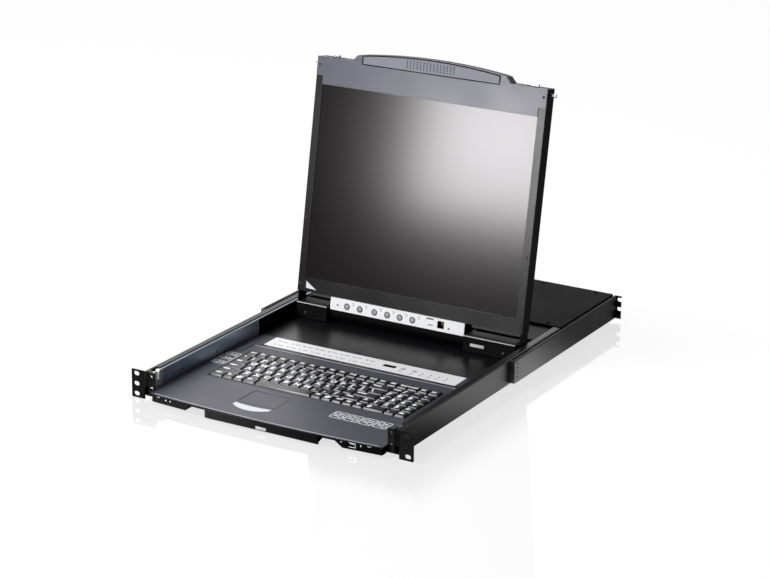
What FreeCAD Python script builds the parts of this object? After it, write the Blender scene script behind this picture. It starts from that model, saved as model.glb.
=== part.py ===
import FreeCAD
import Part
import math
import os

# Rack console drawer: a housing one rack unit high, a keyboard tray that runs out of it
# on telescopic slides, and a flat screen that folds down over the keyboard.
# X is to the right, Y goes to the rear of the rack and Z is up.
# The origin is the middle of the front screw pattern, on the back face of the front ears.
# All sizes are in millimetres.

V = FreeCAD.Vector

# Rack standard
PANEL_WIDTH = 482.6
PANEL_HEIGHT = 44.0
HOLE_SPACING_X = 465.1
HOLE_PITCH_Z = 15.875
SLOT_LENGTH = 10.0
SLOT_WIDTH = 6.8
EAR_THICKNESS = 2.0

# Housing
BODY_WIDTH = 439.2
BODY_DEPTH = 688.0
HOUSING_HEIGHT = 38.5
FLOOR_LIFT = 5.5
WALL = 1.2
FLOOR_SHEET = 1.0
BEND_RADIUS = 1.0
TOP_FLANGE = 11.0
FLOOR_FLANGE = 5.0
PIN_NOTCH_LENGTH = 16.0
PIN_NOTCH_DEPTH = 5.0
VENT_COUNT = 14
VENT_LENGTH = 46.0
VENT_WIDTH = 4.0
VENT_PITCH = 12.0

# Electronics bay at the rear
COVER_DEPTH = 190.0
COVER_SHEET = 1.0
COVER_SIDE = 5.0
COVER_LIP = 8.0
COVER_SCREWS = 5
SCREW_HEAD_RADIUS = 2.8
SCREW_HEAD_HEIGHT = 1.0
BOARD_WIDTH = 280.0
BOARD_DEPTH = 130.0
BOARD_THICKNESS = 1.6
BOARD_LIFT = 5.0
SUPPLY_WIDTH = 90.0
SUPPLY_HEIGHT = 26.0
VIDEO_PORTS = 8
VIDEO_PORT_PITCH = 35.0
VIDEO_PORT_WIDTH = 31.0
VIDEO_PORT_HEIGHT = 12.0
VIDEO_PORT_DEPTH = 6.0
INLET_WIDTH = 27.0
INLET_HEIGHT = 20.0
INLET_DEPTH = 18.0
INLET_WALL = 2.0
ROCKER_WIDTH = 12.0
ROCKER_HEIGHT = 18.0
ROCKER_ANGLE = 9.0
ROCKER_BODY = 12.0
SWITCH_WALL = 0.8
SWITCH_DEPTH = 15.0
PIVOT_RADIUS = 1.2

# Telescopic slides
SLIDE_LIFT = 1.5
SLIDE_HEIGHT = 35.0
SLIDE_SHEET = 1.2
SLIDE_GAP = 2.2
SLIDE_WEB_GAP = 2.4
SLIDE_LENGTH = 440.0
SLIDE_START = 27.0
SLIDE_LIP = 10.2
CABINET_LIP = 5.7
CAGE_CLEARANCE = 0.2
CAGE_WIDTH = 3.6
CAGE_LENGTH = 200.0
SLIDE_HOLE_RADIUS = 2.6
SLIDE_HOLE_PITCH = 96.0

# Tray
TRAY_HALF_WIDTH = 205.5
TRAY_LIFT = 2.5
TRAY_SHEET = 1.0
TRAY_DEPTH = 496.0
SEAT = 0.2
DECK_RISE = 9.5
DECK_THICKNESS = 1.6
DECK_DEPTH = 288.0
DECK_FRONT = 22.0
DECK_BOW = 8.0
DECK_FRONT_HALF = 198.6
REAR_SHEET = 1.2
RISER_Y = 432.5
SHELF_RISE = 34.0

# Keyboard
KEY_UNIT = 17.8
KEY_ROW_PITCH = 19.05
KEY_GAP = 1.5
KEY_TOP_INSET = 1.5
KEY_EDGE = 0.7
KEY_PROUD = 2.4
KEY_HEIGHT = 4.4
KEY_TRAVEL = 1.5
STEM_SIZE = 5.0
STEM_CLEARANCE = 0.15
FUNCTION_KEY_DEPTH = 17.0
FUNCTION_ROW_GAP = 3.5
KEY_FIELD_FRONT = 96.5
KEY_MARGIN = 1.6
UNITS_ACROSS = 19
GUIDE_THICKNESS = 1.6
GUIDE_RIM = 3.0
KEY_CLEARANCE = 0.2
BOARD_STACK = 2.0

# Touchpad
PAD_X = -41.0
PAD_FRONT = 29.0
PAD_WIDTH = 62.0
PAD_DEPTH = 46.0
PAD_CLEARANCE = 0.3
PAD_MODULE = 3.0
CLICK_WIDTH = 60.0
CLICK_END_Y = 18.5
CLICK_END_DEPTH = 3.0
CLICK_MIDDLE_Y = 15.0
CLICK_MIDDLE_DEPTH = 11.5
CLICK_PROUD = 0.4
CLICK_THICKNESS = 2.6
CLICK_SPLIT = 0.5

# Port strip
STRIP_X = -1.0
STRIP_WIDTH = 340.0
STRIP_FRONT = 249.0
STRIP_DEPTH = 37.0
STRIP_THICKNESS = 0.8
WINDOW_X = 45.0
WINDOW_WIDTH = 22.0
WINDOW_DEPTH = 9.0
WINDOW_Y = 268.5
PORT_BUTTON_X = 68.0
PORT_BUTTON_PITCH = 20.0
PORT_BUTTON_RADIUS = 2.6
LAMP_X = 104.0
LAMP_PITCH = 14.0
LAMPS = 4
LAMP_RADIUS = 1.4
BUTTON_CLEARANCE = 0.25
BUTTON_PROUD = 0.7

# Front of the tray
FASCIA_INSET = 1.6
LIP_HEIGHT = 3.2
POD_HEIGHT = 11.8
LEFT_POD_END = -129.0
LEFT_POD_TAPER = 6.0
RIGHT_POD_START = 122.0
RIGHT_POD_TAPER = 12.0
HANDLE_HALF = 96.5
HANDLE_DROP = 13.5
HANDLE_SHEET = 2.6
HANDLE_PROUD = 2.2
HANDLE_ROUND = 1.2
USB_X = 149.0
USB_WIDTH = 12.6
USB_HEIGHT = 5.4
USB_DEPTH = 11.0
FRONT_LAMP_X = 132.0
FLANGE_INNER = 199.6
FLANGE_OUTER = 211.0
FLANGE_SHEET = 1.5
FLANGE_BOTTOM = 6.5
FLANGE_TOP = 43.5
FLANGE_LEG = 24.0

# Screen lid, measured from its hinge axis
AXIS_Y = 407.0
AXIS_HEIGHT = 34.0
LID_TILT = 9.6
LID_WIDTH = 406.0
LID_HEIGHT = 378.0
LID_THICKNESS = 24.0
LID_FRONT_OFFSET = 14.5
LID_BOTTOM_OFFSET = 24.1
LID_SHEET = 1.5
BEZEL_THICKNESS = 2.0
SCREEN_WIDTH = 381.0
SCREEN_HEIGHT = 311.5
SCREEN_BOTTOM = 23.0
PANEL_RECESS = 0.8
PANEL_LAP = 5.0
PANEL_THICKNESS = 11.0
BAND_WING_DROP = 30.0
BAND_PROUD = 0.8
GRIP_HALF = 121.0
GRIP_END_RISE = 9.5
GRIP_MIDDLE_RISE = 17.0
GRIP_BELOW = 3.5
GRIP_THICKNESS = 15.0
HUMP_MARGIN = 12.0
HUMP_TOP = 1.6
DIMPLE_COLUMNS = 15
DIMPLE_ROWS = 4
DIMPLE_PITCH_X = 5.9
DIMPLE_PITCH_Z = 3.4
DIMPLE_RADIUS = 1.0
DIMPLE_DEPTH = 1.0

# Hinges
BARREL_RADIUS = 8.5
SHAFT_RADIUS = 4.0
SHAFT_CLEARANCE = 0.05
BLOCK_FRONT = 21.0
BLOCK_REAR = 21.0
BLOCK_TOP_RISE = 10.6
BLOCK_FLANGE = 8.0
BLOCK_SHEET = 1.5
BLOCK_OUTER_X = 197.5
LEFT_BLOCK_INNER_X = 141.5
RIGHT_BLOCK_INNER_X = 107.0
BEAM_GAP = 2.0
BEAM_RADIUS = 12.5
ARM_INNER_X = 199.3
ARM_THICKNESS = 3.2
ARM_RADIUS = 11.0
ARM_REACH = 40.0
LEAF_THICKNESS = 1.2

# Screen control strip
CONTROL_HEIGHT = 20.5
CONTROL_THICKNESS = 1.5
CONTROL_BUTTON_XS = (-108.7, -84.8, -57.9, -34.4, -11.6, 11.3)
CONTROL_BUTTON_DROP = 11.8
CONTROL_BUTTON_RADIUS = 3.6
CONTROL_BUTTON_DEPTH = 5.0
CONTROL_BUTTON_TRAVEL = 0.8
SOCKET_X = 62.0
SOCKET_SIZE = 11.8
SOCKET_DROP = 10.5
SOCKET_DEPTH = 12.0

# Lid latches
LATCH_DROP = 10.0
LATCH_DEPTH = 12.0
LATCH_PIN_RADIUS = 2.5
LATCH_PIN_REACH = 9.5
LATCH_PIN_CLEARANCE = 0.2
LATCH_TRAVEL = 8.0
LATCH_NUB_X = 176.0
LATCH_NUB_WIDTH = 12.0
LATCH_NUB_HEIGHT = 4.0
LATCH_NUB_DEPTH = 5.0
CATCH_FRONT = 6.5
CATCH_THICKNESS = 7.0
CATCH_CLEARANCE = 0.6
CATCH_BOTTOM = 14.0
CATCH_TOP = 41.5

# Rear rack brackets
BRACKET_OUTER = 228.0
BRACKET_SHEET = 1.5
BRACKET_FRONT = 328.0
BRACKET_FLANGE = 5.5
BRACKET_CHAMFER = 12.0
BRACKET_EAR_REACH = 236.0
BRACKET_NOTCH = 7.0
GUIDE_CLEARANCE = 0.3
RAIL_FRONT = 470.0
RAIL_LENGTH = 190.0
RAIL_HOLE_RADIUS = 1.6

# Derived places
Z_EAR = -PANEL_HEIGHT / 2.0
Z_BOTTOM = Z_EAR + FLOOR_LIFT
Z_TOP = Z_BOTTOM + HOUSING_HEIGHT
X_WALL = BODY_WIDTH / 2.0
X_INSIDE = X_WALL - WALL
Z_FLOOR = Z_BOTTOM + FLOOR_SHEET
Y_COVER = BODY_DEPTH - COVER_DEPTH
Z_SLIDE = Z_BOTTOM + SLIDE_LIFT
X_MEMBER = TRAY_HALF_WIDTH + SEAT
Z_TRAY = Z_BOTTOM + TRAY_LIFT
Z_TRAY_TOP = Z_TRAY + TRAY_SHEET
Z_DECK = Z_TRAY + DECK_RISE
Z_DECK_UNDER = Z_DECK - DECK_THICKNESS
AXIS_Z = Z_EAR + AXIS_HEIGHT
LATCH_Z = LID_BOTTOM_OFFSET + LID_HEIGHT - LATCH_DROP
LATCH_Y = LATCH_DEPTH - LID_FRONT_OFFSET
CLOSED_PIN_Y = AXIS_Y - LATCH_Z
CLOSED_PIN_Z = AXIS_Z + LATCH_Y


def box(x0, x1, y0, y1, z0, z1):
    return Part.makeBox(x1 - x0, y1 - y0, z1 - z0, V(x0, y0, z0))


def rod(start, end, radius):
    start = V(*start)
    end = V(*end)
    return Part.makeCylinder(radius, (end - start).Length, start, end - start)


def place(plane, a, b, along):
    """A point from its two profile coordinates and its place along the third axis."""
    if plane == "XZ":
        return V(a, along, b)
    if plane == "YZ":
        return V(along, a, b)
    return V(a, b, along)


def sweep(plane, length):
    if plane == "XZ":
        return V(0, length, 0)
    if plane == "YZ":
        return V(length, 0, 0)
    return V(0, 0, length)


def prism(points, plane, start, length):
    corners = [place(plane, a, b, start) for a, b in points]
    face = Part.Face(Part.makePolygon(corners + [corners[0]]))
    return face.extrude(sweep(plane, length))


def curved_prism(edges, plane, start, length):
    """Each edge is two points for a line, or three for an arc, in profile coordinates."""
    curves = []
    for edge in edges:
        points = [place(plane, a, b, start) for a, b in edge]
        if len(points) == 2:
            curves.append(Part.LineSegment(*points).toShape())
        else:
            curves.append(Part.Arc(*points).toShape())
    face = Part.Face(Part.Wire(curves))
    return face.extrude(sweep(plane, length))


def offset_path(path, distance):
    """The open path moved to its left by a distance, with mitred corners."""
    lines = []
    for (a0, b0), (a1, b1) in zip(path, path[1:]):
        length = math.hypot(a1 - a0, b1 - b0)
        da = (a1 - a0) / length
        db = (b1 - b0) / length
        lines.append(((a0 - db * distance, b0 + da * distance), (da, db)))
    moved = [lines[0][0]]
    for (p, d), (q, e) in zip(lines, lines[1:]):
        cross = d[0] * e[1] - d[1] * e[0]
        t = ((q[0] - p[0]) * e[1] - (q[1] - p[1]) * e[0]) / cross
        moved.append((p[0] + d[0] * t, p[1] + d[1] * t))
    end = path[-1]
    d = lines[-1][1]
    moved.append((end[0] - d[1] * distance, end[1] + d[0] * distance))
    return moved


def rounded_path(path, radii):
    """Lines and arcs along a path, with one radius for each inner corner."""
    edges = []
    start = path[0]
    for before, corner, after, radius in zip(path, path[1:], path[2:], radii):
        in_length = math.dist(before, corner)
        out_length = math.dist(corner, after)
        into = ((corner[0] - before[0]) / in_length, (corner[1] - before[1]) / in_length)
        out = ((after[0] - corner[0]) / out_length, (after[1] - corner[1]) / out_length)
        turn = math.acos(max(-1.0, min(1.0, into[0] * out[0] + into[1] * out[1])))
        cut = radius * math.tan(turn / 2.0)
        first = (corner[0] - into[0] * cut, corner[1] - into[1] * cut)
        last = (corner[0] + out[0] * cut, corner[1] + out[1] * cut)
        bulge = (out[0] - into[0], out[1] - into[1])
        size = math.hypot(*bulge)
        reach = radius / math.cos(turn / 2.0) - radius
        middle = (corner[0] + bulge[0] / size * reach, corner[1] + bulge[1] / size * reach)
        edges.append((start, first))
        edges.append((first, middle, last))
        start = last
    edges.append((start, path[-1]))
    return edges


def bent_sheet(path, thickness, plane, start, length):
    """A folded sheet whose left side lies one thickness from the path."""
    near_radii = []
    far_radii = []
    for (a0, b0), (a1, b1), (a2, b2) in zip(path, path[1:], path[2:]):
        left = (a1 - a0) * (b2 - b1) - (b1 - b0) * (a2 - a1) > 0
        near_radii.append(BEND_RADIUS + thickness if left else BEND_RADIUS)
        far_radii.append(BEND_RADIUS if left else BEND_RADIUS + thickness)
    far = offset_path(path, thickness)
    edges = rounded_path(path, near_radii)
    edges.append((path[-1], far[-1]))
    edges += [tuple(reversed(e)) for e in reversed(rounded_path(far, far_radii))]
    edges.append((far[0], path[0]))
    return curved_prism(edges, plane, start, length)


def slot(plane, a, b, length, width, start, depth):
    """A round-ended slot along the profile's first axis."""
    half = (length - width) / 2.0
    r = width / 2.0
    edges = [
        ((a - half, b - r), (a + half, b - r)),
        ((a + half, b - r), (a + half + r, b), (a + half, b + r)),
        ((a + half, b + r), (a - half, b + r)),
        ((a - half, b + r), (a - half - r, b), (a - half, b - r)),
    ]
    return curved_prism(edges, plane, start, depth)


def round_edges(shape, radius, direction):
    """Rounds the straight edges of a shape that run along a direction."""
    chosen = []
    for edge in shape.Edges:
        if edge.Curve.TypeId != "Part::GeomLine":
            continue
        if abs(abs(edge.tangentAt(edge.FirstParameter).dot(V(*direction))) - 1.0) < 1e-6:
            chosen.append(edge)
    return shape.makeFillet(radius, chosen)


def mirrored(shape):
    return shape.mirror(V(0, 0, 0), V(1, 0, 0))


def pair(shape):
    return Part.makeCompound([shape, mirrored(shape)])


def group(shapes):
    return Part.makeCompound(shapes)


def cut_all(shape, tools):
    return shape.cut(group(tools)) if tools else shape


def save(name, shape):
    shape.exportStep(os.path.join("parts", name + ".step"))


def make_side_panel():
    """Right wall with its top flange and the front ear bent outwards."""
    path = [
        (X_WALL - TOP_FLANGE, Z_TOP),
        (X_WALL, Z_TOP),
        (X_WALL, Z_BOTTOM),
    ]
    wall = bent_sheet(list(reversed(path)), WALL, "XZ", -EAR_THICKNESS, BODY_DEPTH + EAR_THICKNESS)
    flange_end = box(0, X_INSIDE, Y_COVER, BODY_DEPTH + 1, Z_TOP - WALL * 2, Z_TOP + 1)
    notch = box(
        0, X_WALL - PIN_NOTCH_DEPTH,
        CLOSED_PIN_Y - PIN_NOTCH_LENGTH / 2.0, CLOSED_PIN_Y + PIN_NOTCH_LENGTH / 2.0,
        Z_TOP - WALL * 2, Z_TOP + 1,
    )
    front = box(0, X_WALL - PIN_NOTCH_DEPTH, -EAR_THICKNESS - 1, SEAT, Z_TOP - WALL * 2, Z_TOP + 1)
    wall = cut_all(wall, [flange_end, notch, front])
    ear = box(X_INSIDE, PANEL_WIDTH / 2.0, -EAR_THICKNESS, 0, Z_EAR, Z_EAR + PANEL_HEIGHT)
    ear = round_edges(ear, EAR_THICKNESS * 0.4, (0, 1, 0))
    panel = wall.fuse(ear).removeSplitter()
    slots = [
        slot("XZ", HOLE_SPACING_X / 2.0, HOLE_PITCH_Z * row, SLOT_LENGTH, SLOT_WIDTH,
             -EAR_THICKNESS - 1, EAR_THICKNESS + 2)
        for row in (-1, 0, 1)
    ]
    return cut_all(panel, slots)


def make_floor():
    """Bottom sheet with a low upturned flange on each side and vents under the electronics."""
    path = [
        (-X_INSIDE, Z_BOTTOM + FLOOR_FLANGE),
        (-X_INSIDE, Z_BOTTOM),
        (X_INSIDE, Z_BOTTOM),
        (X_INSIDE, Z_BOTTOM + FLOOR_FLANGE),
    ]
    floor = bent_sheet(path, FLOOR_SHEET, "XZ", 0, BODY_DEPTH)
    first = -(VENT_COUNT - 1) / 2.0 * VENT_PITCH
    y = Y_COVER + COVER_DEPTH / 2.0
    vents = [
        box(first + VENT_PITCH * n - VENT_WIDTH / 2.0, first + VENT_PITCH * n + VENT_WIDTH / 2.0,
            y - VENT_LENGTH / 2.0, y + VENT_LENGTH / 2.0, Z_BOTTOM - 1, Z_FLOOR + 1)
        for n in range(VENT_COUNT)
    ]
    rear = box(-X_WALL, X_WALL, BODY_DEPTH - WALL, BODY_DEPTH + 1, Z_FLOOR, Z_TOP)
    return cut_all(floor, vents + [rear])


def inlet_centre():
    return X_INSIDE - 30.0 - INLET_WIDTH / 2.0


def rocker_centre():
    return inlet_centre() - INLET_WIDTH / 2.0 - 8.0 - ROCKER_WIDTH / 2.0


def port_centres():
    first = -X_INSIDE + 40.0
    return [first + VIDEO_PORT_PITCH * n for n in range(VIDEO_PORTS)]


def rear_mid_z():
    return (Z_FLOOR + Z_TOP) / 2.0


def make_rear_panel():
    panel = box(-X_INSIDE, X_INSIDE, BODY_DEPTH - WALL, BODY_DEPTH, Z_FLOOR, Z_TOP)
    z = rear_mid_z()
    cuts = []
    for x in port_centres():
        cuts.append(box(x - VIDEO_PORT_WIDTH / 2.0 + 4, x + VIDEO_PORT_WIDTH / 2.0 - 4,
                        BODY_DEPTH - WALL * 2, BODY_DEPTH + 1,
                        z - VIDEO_PORT_HEIGHT / 2.0 + 1, z + VIDEO_PORT_HEIGHT / 2.0 - 1))
    x = inlet_centre()
    cuts.append(box(x - INLET_WIDTH / 2.0, x + INLET_WIDTH / 2.0, BODY_DEPTH - WALL * 2, BODY_DEPTH + 1,
                    z - INLET_HEIGHT / 2.0, z + INLET_HEIGHT / 2.0))
    x = rocker_centre()
    edge = SEAT + SWITCH_WALL
    cuts.append(box(x - ROCKER_WIDTH / 2.0 - edge, x + ROCKER_WIDTH / 2.0 + edge,
                    BODY_DEPTH - WALL * 2, BODY_DEPTH + 1,
                    z - ROCKER_HEIGHT / 2.0 - edge, z + ROCKER_HEIGHT / 2.0 + edge))
    return cut_all(panel, cuts)


def make_rear_cover():
    """Top cover of the electronics bay, folded down over both walls and at its front."""
    x = X_WALL + COVER_SHEET
    path = [
        (x, Z_TOP - COVER_SIDE),
        (x, Z_TOP + COVER_SHEET),
        (-x, Z_TOP + COVER_SHEET),
        (-x, Z_TOP - COVER_SIDE),
    ]
    cover = bent_sheet(path, COVER_SHEET, "XZ", Y_COVER, COVER_DEPTH)
    lip = box(-X_INSIDE + SEAT, X_INSIDE - SEAT, Y_COVER, Y_COVER + COVER_SHEET,
              Z_TOP - COVER_LIP, Z_TOP + COVER_SHEET / 2.0)
    return cover.fuse(lip).removeSplitter()


def cover_screw_places():
    half = X_WALL - 26.0
    y = Y_COVER + 9.0
    step = 2 * half / (COVER_SCREWS - 1)
    return [(-half + step * n, y) for n in range(COVER_SCREWS)]


def make_housing_screws():
    z = Z_TOP + COVER_SHEET
    heads = []
    for x, y in cover_screw_places():
        for place_y in (y, BODY_DEPTH - 9.0):
            head = rod((x, place_y, z), (x, place_y, z + SCREW_HEAD_HEIGHT), SCREW_HEAD_RADIUS)
            heads.append(head)
    return group(heads)


def make_main_board():
    """Circuit board on its standoffs, with the larger parts and the closed power supply."""
    z = Z_FLOOR + BOARD_LIFT
    x0 = -X_INSIDE + 20.0
    y1 = BODY_DEPTH - WALL - VIDEO_PORT_DEPTH - 8.0
    y0 = y1 - BOARD_DEPTH
    board = box(x0, x0 + BOARD_WIDTH, y0, y1, z, z + BOARD_THICKNESS)
    for x in (x0 + 8, x0 + BOARD_WIDTH - 8):
        for y in (y0 + 8, y1 - 8):
            board = board.fuse(rod((x, y, Z_FLOOR), (x, y, z), 3.0))
    for n in range(4):
        x = x0 + 40 + n * 60
        chip = box(x, x + 20, y0 + 40, y0 + 60, z + BOARD_THICKNESS, z + BOARD_THICKNESS + 2.5)
        board = board.fuse(chip)
    supply_x = X_INSIDE - 18.0 - SUPPLY_WIDTH
    supply = box(supply_x, supply_x + SUPPLY_WIDTH, Y_COVER + 20,
                 BODY_DEPTH - WALL - INLET_DEPTH - 8.0, Z_FLOOR, Z_FLOOR + SUPPLY_HEIGHT)
    return group([board.removeSplitter(), supply])


def make_rear_sockets():
    """Row of screen and computer sockets, and the power inlet, on the rear panel."""
    z = rear_mid_z()
    y = BODY_DEPTH - WALL
    pieces = []
    for x in port_centres():
        plate = box(x - VIDEO_PORT_WIDTH / 2.0, x + VIDEO_PORT_WIDTH / 2.0, y - VIDEO_PORT_DEPTH, y,
                    z - VIDEO_PORT_HEIGHT / 2.0, z + VIDEO_PORT_HEIGHT / 2.0)
        w = VIDEO_PORT_WIDTH / 2.0 - 6.0
        h = VIDEO_PORT_HEIGHT / 2.0 - 2.5
        shell = prism([(x - w, z + h), (x - w + 1.5, z - h), (x + w - 1.5, z - h), (x + w, z + h)],
                      "XZ", y - 1.0, VIDEO_PORT_DEPTH)
        pieces.append(plate.fuse(shell).removeSplitter())
    x = inlet_centre()
    body = box(x - INLET_WIDTH / 2.0 + 0.2, x + INLET_WIDTH / 2.0 - 0.2, y - INLET_DEPTH, y + 3.0,
               z - INLET_HEIGHT / 2.0 + 0.2, z + INLET_HEIGHT / 2.0 - 0.2)
    hollow = box(x - INLET_WIDTH / 2.0 + INLET_WALL, x + INLET_WIDTH / 2.0 - INLET_WALL,
                 y - INLET_DEPTH + INLET_WALL, y + 4.0,
                 z - INLET_HEIGHT / 2.0 + INLET_WALL, z + INLET_HEIGHT / 2.0 - INLET_WALL)
    pieces.append(body.cut(hollow))
    x = rocker_centre()
    w = ROCKER_WIDTH / 2.0 + SEAT
    h = ROCKER_HEIGHT / 2.0 + SEAT
    t = SWITCH_WALL
    frame = box(x - w - t, x + w + t, y - SWITCH_DEPTH, y + WALL + 0.5, z - h - t, z + h + t)
    hollow = box(x - w, x + w, y - SWITCH_DEPTH + t, y + WALL + 1, z - h, z + h)
    pivot = rod((x - w - t / 2.0, rocker_pivot_y(), z), (x + w + t / 2.0, rocker_pivot_y(), z), PIVOT_RADIUS)
    pieces.append(frame.cut(hollow).fuse(pivot).removeSplitter())
    return group(pieces)


def rocker_pivot_y():
    return BODY_DEPTH - 2.0


def make_power_rocker():
    """Rocking key of the power switch: a flat vee that turns about an axis across the housing."""
    x = rocker_centre()
    z = rear_mid_z()
    half = ROCKER_HEIGHT / 2.0
    rise = half * math.tan(math.radians(ROCKER_ANGLE))
    y = BODY_DEPTH + 1.0
    points = [
        (y, z - half + 0.6),
        (y + rise, z - half + 0.6),
        (y + 0.4, z),
        (y + rise, z + half - 0.6),
        (y, z + half - 0.6),
        (y - ROCKER_BODY / 2.0, z + 3.0),
        (y - ROCKER_BODY / 2.0, z - 3.0),
    ]
    rocker = prism(points, "YZ", x - ROCKER_WIDTH / 2.0, ROCKER_WIDTH)
    bore = rod((x - ROCKER_WIDTH, rocker_pivot_y(), z), (x + ROCKER_WIDTH, rocker_pivot_y(), z),
               PIVOT_RADIUS + SHAFT_CLEARANCE)
    rocker = rocker.cut(bore)
    rocker.rotate(V(x, rocker_pivot_y(), z), V(1, 0, 0), ROCKER_ANGLE)
    return rocker


def channel(web_x, lip_x, z0, z1, y0, length):
    """Slide member: a C section with its web at web_x and its lips reaching to lip_x."""
    outward = lip_x > web_x
    if outward:
        path = [(lip_x, z1), (web_x, z1), (web_x, z0), (lip_x, z0)]
    else:
        path = [(lip_x, z0), (web_x, z0), (web_x, z1), (lip_x, z1)]
    return bent_sheet(path, SLIDE_SHEET, "XZ", y0, length)


def slide_holes(x, y0, length, z):
    holes = []
    y = y0 + SLIDE_HOLE_PITCH / 2.0
    while y < y0 + length - SLIDE_HOLE_RADIUS * 2:
        holes.append(rod((x - SLIDE_SHEET * 2, y, z), (x + SLIDE_SHEET * 2, y, z), SLIDE_HOLE_RADIUS))
        y += SLIDE_HOLE_PITCH
    return holes


def slide_levels():
    """Outer height limits of the tray, middle and housing members, from outside to inside."""
    step = SLIDE_SHEET + SLIDE_GAP
    z0 = Z_SLIDE
    z1 = Z_SLIDE + SLIDE_HEIGHT
    return [(z0 + step * n, z1 - step * n) for n in range(3)]


def make_tray_member():
    z0, z1 = slide_levels()[0]
    member = channel(X_MEMBER, X_MEMBER + SLIDE_LIP, z0, z1, SLIDE_START, SLIDE_LENGTH)
    return cut_all(member, slide_holes(X_MEMBER, SLIDE_START, SLIDE_LENGTH, (z0 + z1) / 2.0))


def middle_web_x():
    return X_MEMBER + SLIDE_SHEET + SLIDE_WEB_GAP


def make_middle_member():
    z0, z1 = slide_levels()[1]
    member = channel(middle_web_x(), X_MEMBER + SLIDE_LIP, z0, z1, SLIDE_START, SLIDE_LENGTH)
    return cut_all(member, slide_holes(middle_web_x(), SLIDE_START, SLIDE_LENGTH, (z0 + z1) / 2.0))


def make_housing_member():
    z0, z1 = slide_levels()[2]
    member = channel(X_INSIDE, X_INSIDE - CABINET_LIP, z0, z1, SLIDE_START, SLIDE_LENGTH)
    return cut_all(member, slide_holes(X_INSIDE, SLIDE_START, SLIDE_LENGTH, (z0 + z1) / 2.0))


def make_ball_cages(level):
    """Strips between two members, above and below, that hold the rows of balls."""
    x1 = X_MEMBER + SLIDE_LIP
    x0 = x1 - CAGE_WIDTH
    thickness = SLIDE_GAP - 2 * CAGE_CLEARANCE
    y0 = SLIDE_START + (SLIDE_LENGTH - CAGE_LENGTH) / 2.0
    z0, z1 = slide_levels()[level]
    low = z0 + SLIDE_SHEET + CAGE_CLEARANCE
    high = z1 - SLIDE_SHEET - CAGE_CLEARANCE - thickness
    return group([box(x0, x1, y0, y0 + CAGE_LENGTH, z, z + thickness) for z in (low, high)])


def make_lid_catch():
    """Plastic end block of the slide, with the slot that takes the lid's side pin."""
    z0 = Z_EAR + CATCH_BOTTOM
    z1 = Z_EAR + CATCH_TOP
    block = box(X_MEMBER, X_MEMBER + CATCH_THICKNESS, CATCH_FRONT, SLIDE_START, z0, z1)
    block = round_edges(block, 1.2, (1, 0, 0))
    half = LATCH_PIN_RADIUS + CATCH_CLEARANCE
    mouth = half * 1.6
    points = [
        ((CLOSED_PIN_Y - half, CLOSED_PIN_Z), (CLOSED_PIN_Y, CLOSED_PIN_Z - half),
         (CLOSED_PIN_Y + half, CLOSED_PIN_Z)),
        ((CLOSED_PIN_Y + half, CLOSED_PIN_Z), (CLOSED_PIN_Y + half, z1 - half)),
        ((CLOSED_PIN_Y + half, z1 - half), (CLOSED_PIN_Y + mouth, z1 + 1)),
        ((CLOSED_PIN_Y + mouth, z1 + 1), (CLOSED_PIN_Y - mouth, z1 + 1)),
        ((CLOSED_PIN_Y - mouth, z1 + 1), (CLOSED_PIN_Y - half, z1 - half)),
        ((CLOSED_PIN_Y - half, z1 - half), (CLOSED_PIN_Y - half, CLOSED_PIN_Z)),
    ]
    channel_cut = curved_prism(points, "YZ", X_MEMBER - 1, CATCH_THICKNESS + 2)
    return block.cut(channel_cut)


def make_tray_pan():
    """Steel pan of the tray: low sides beside the keyboard and high cheeks beside the hinges."""
    low = Z_DECK_UNDER - SEAT
    high = Z_DECK + SHELF_RISE - 10.0
    path = [
        (-TRAY_HALF_WIDTH, high),
        (-TRAY_HALF_WIDTH, Z_TRAY),
        (TRAY_HALF_WIDTH, Z_TRAY),
        (TRAY_HALF_WIDTH, high),
    ]
    pan = bent_sheet(path, TRAY_SHEET, "XZ", 0, TRAY_DEPTH)
    pan = pan.cut(box(-PANEL_WIDTH, PANEL_WIDTH, -1, DECK_DEPTH + SEAT, low, Z_TOP * 2))
    inner = TRAY_HALF_WIDTH - TRAY_SHEET - BEND_RADIUS
    front_half = TRAY_HALF_WIDTH - TRAY_SHEET - WALL - SEAT
    front = box(-front_half, front_half, 0, TRAY_SHEET, Z_TRAY, low)
    rear = box(-inner, inner, TRAY_DEPTH - TRAY_SHEET, TRAY_DEPTH, Z_TRAY,
               Z_DECK + SHELF_RISE - 10.0 - REAR_SHEET - SEAT)
    return pan.fuse([front, rear]).removeSplitter()


def deck_outline(inset, rear_y):
    """Plan of the deck: a bowed front edge, and straight sides from the front flanges back."""
    front_y = -DECK_FRONT + DECK_BOW
    half = DECK_FRONT_HALF - inset
    side = TRAY_HALF_WIDTH - SEAT / 2.0
    return [
        ((-half, front_y + inset), (0, -DECK_FRONT + inset), (half, front_y + inset)),
        ((half, front_y + inset), (half, 0)),
        ((half, 0), (side, 0)),
        ((side, 0), (side, rear_y)),
        ((side, rear_y), (-side, rear_y)),
        ((-side, rear_y), (-side, 0)),
        ((-side, 0), (-half, 0)),
        ((-half, 0), (-half, front_y + inset)),
    ]


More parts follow.
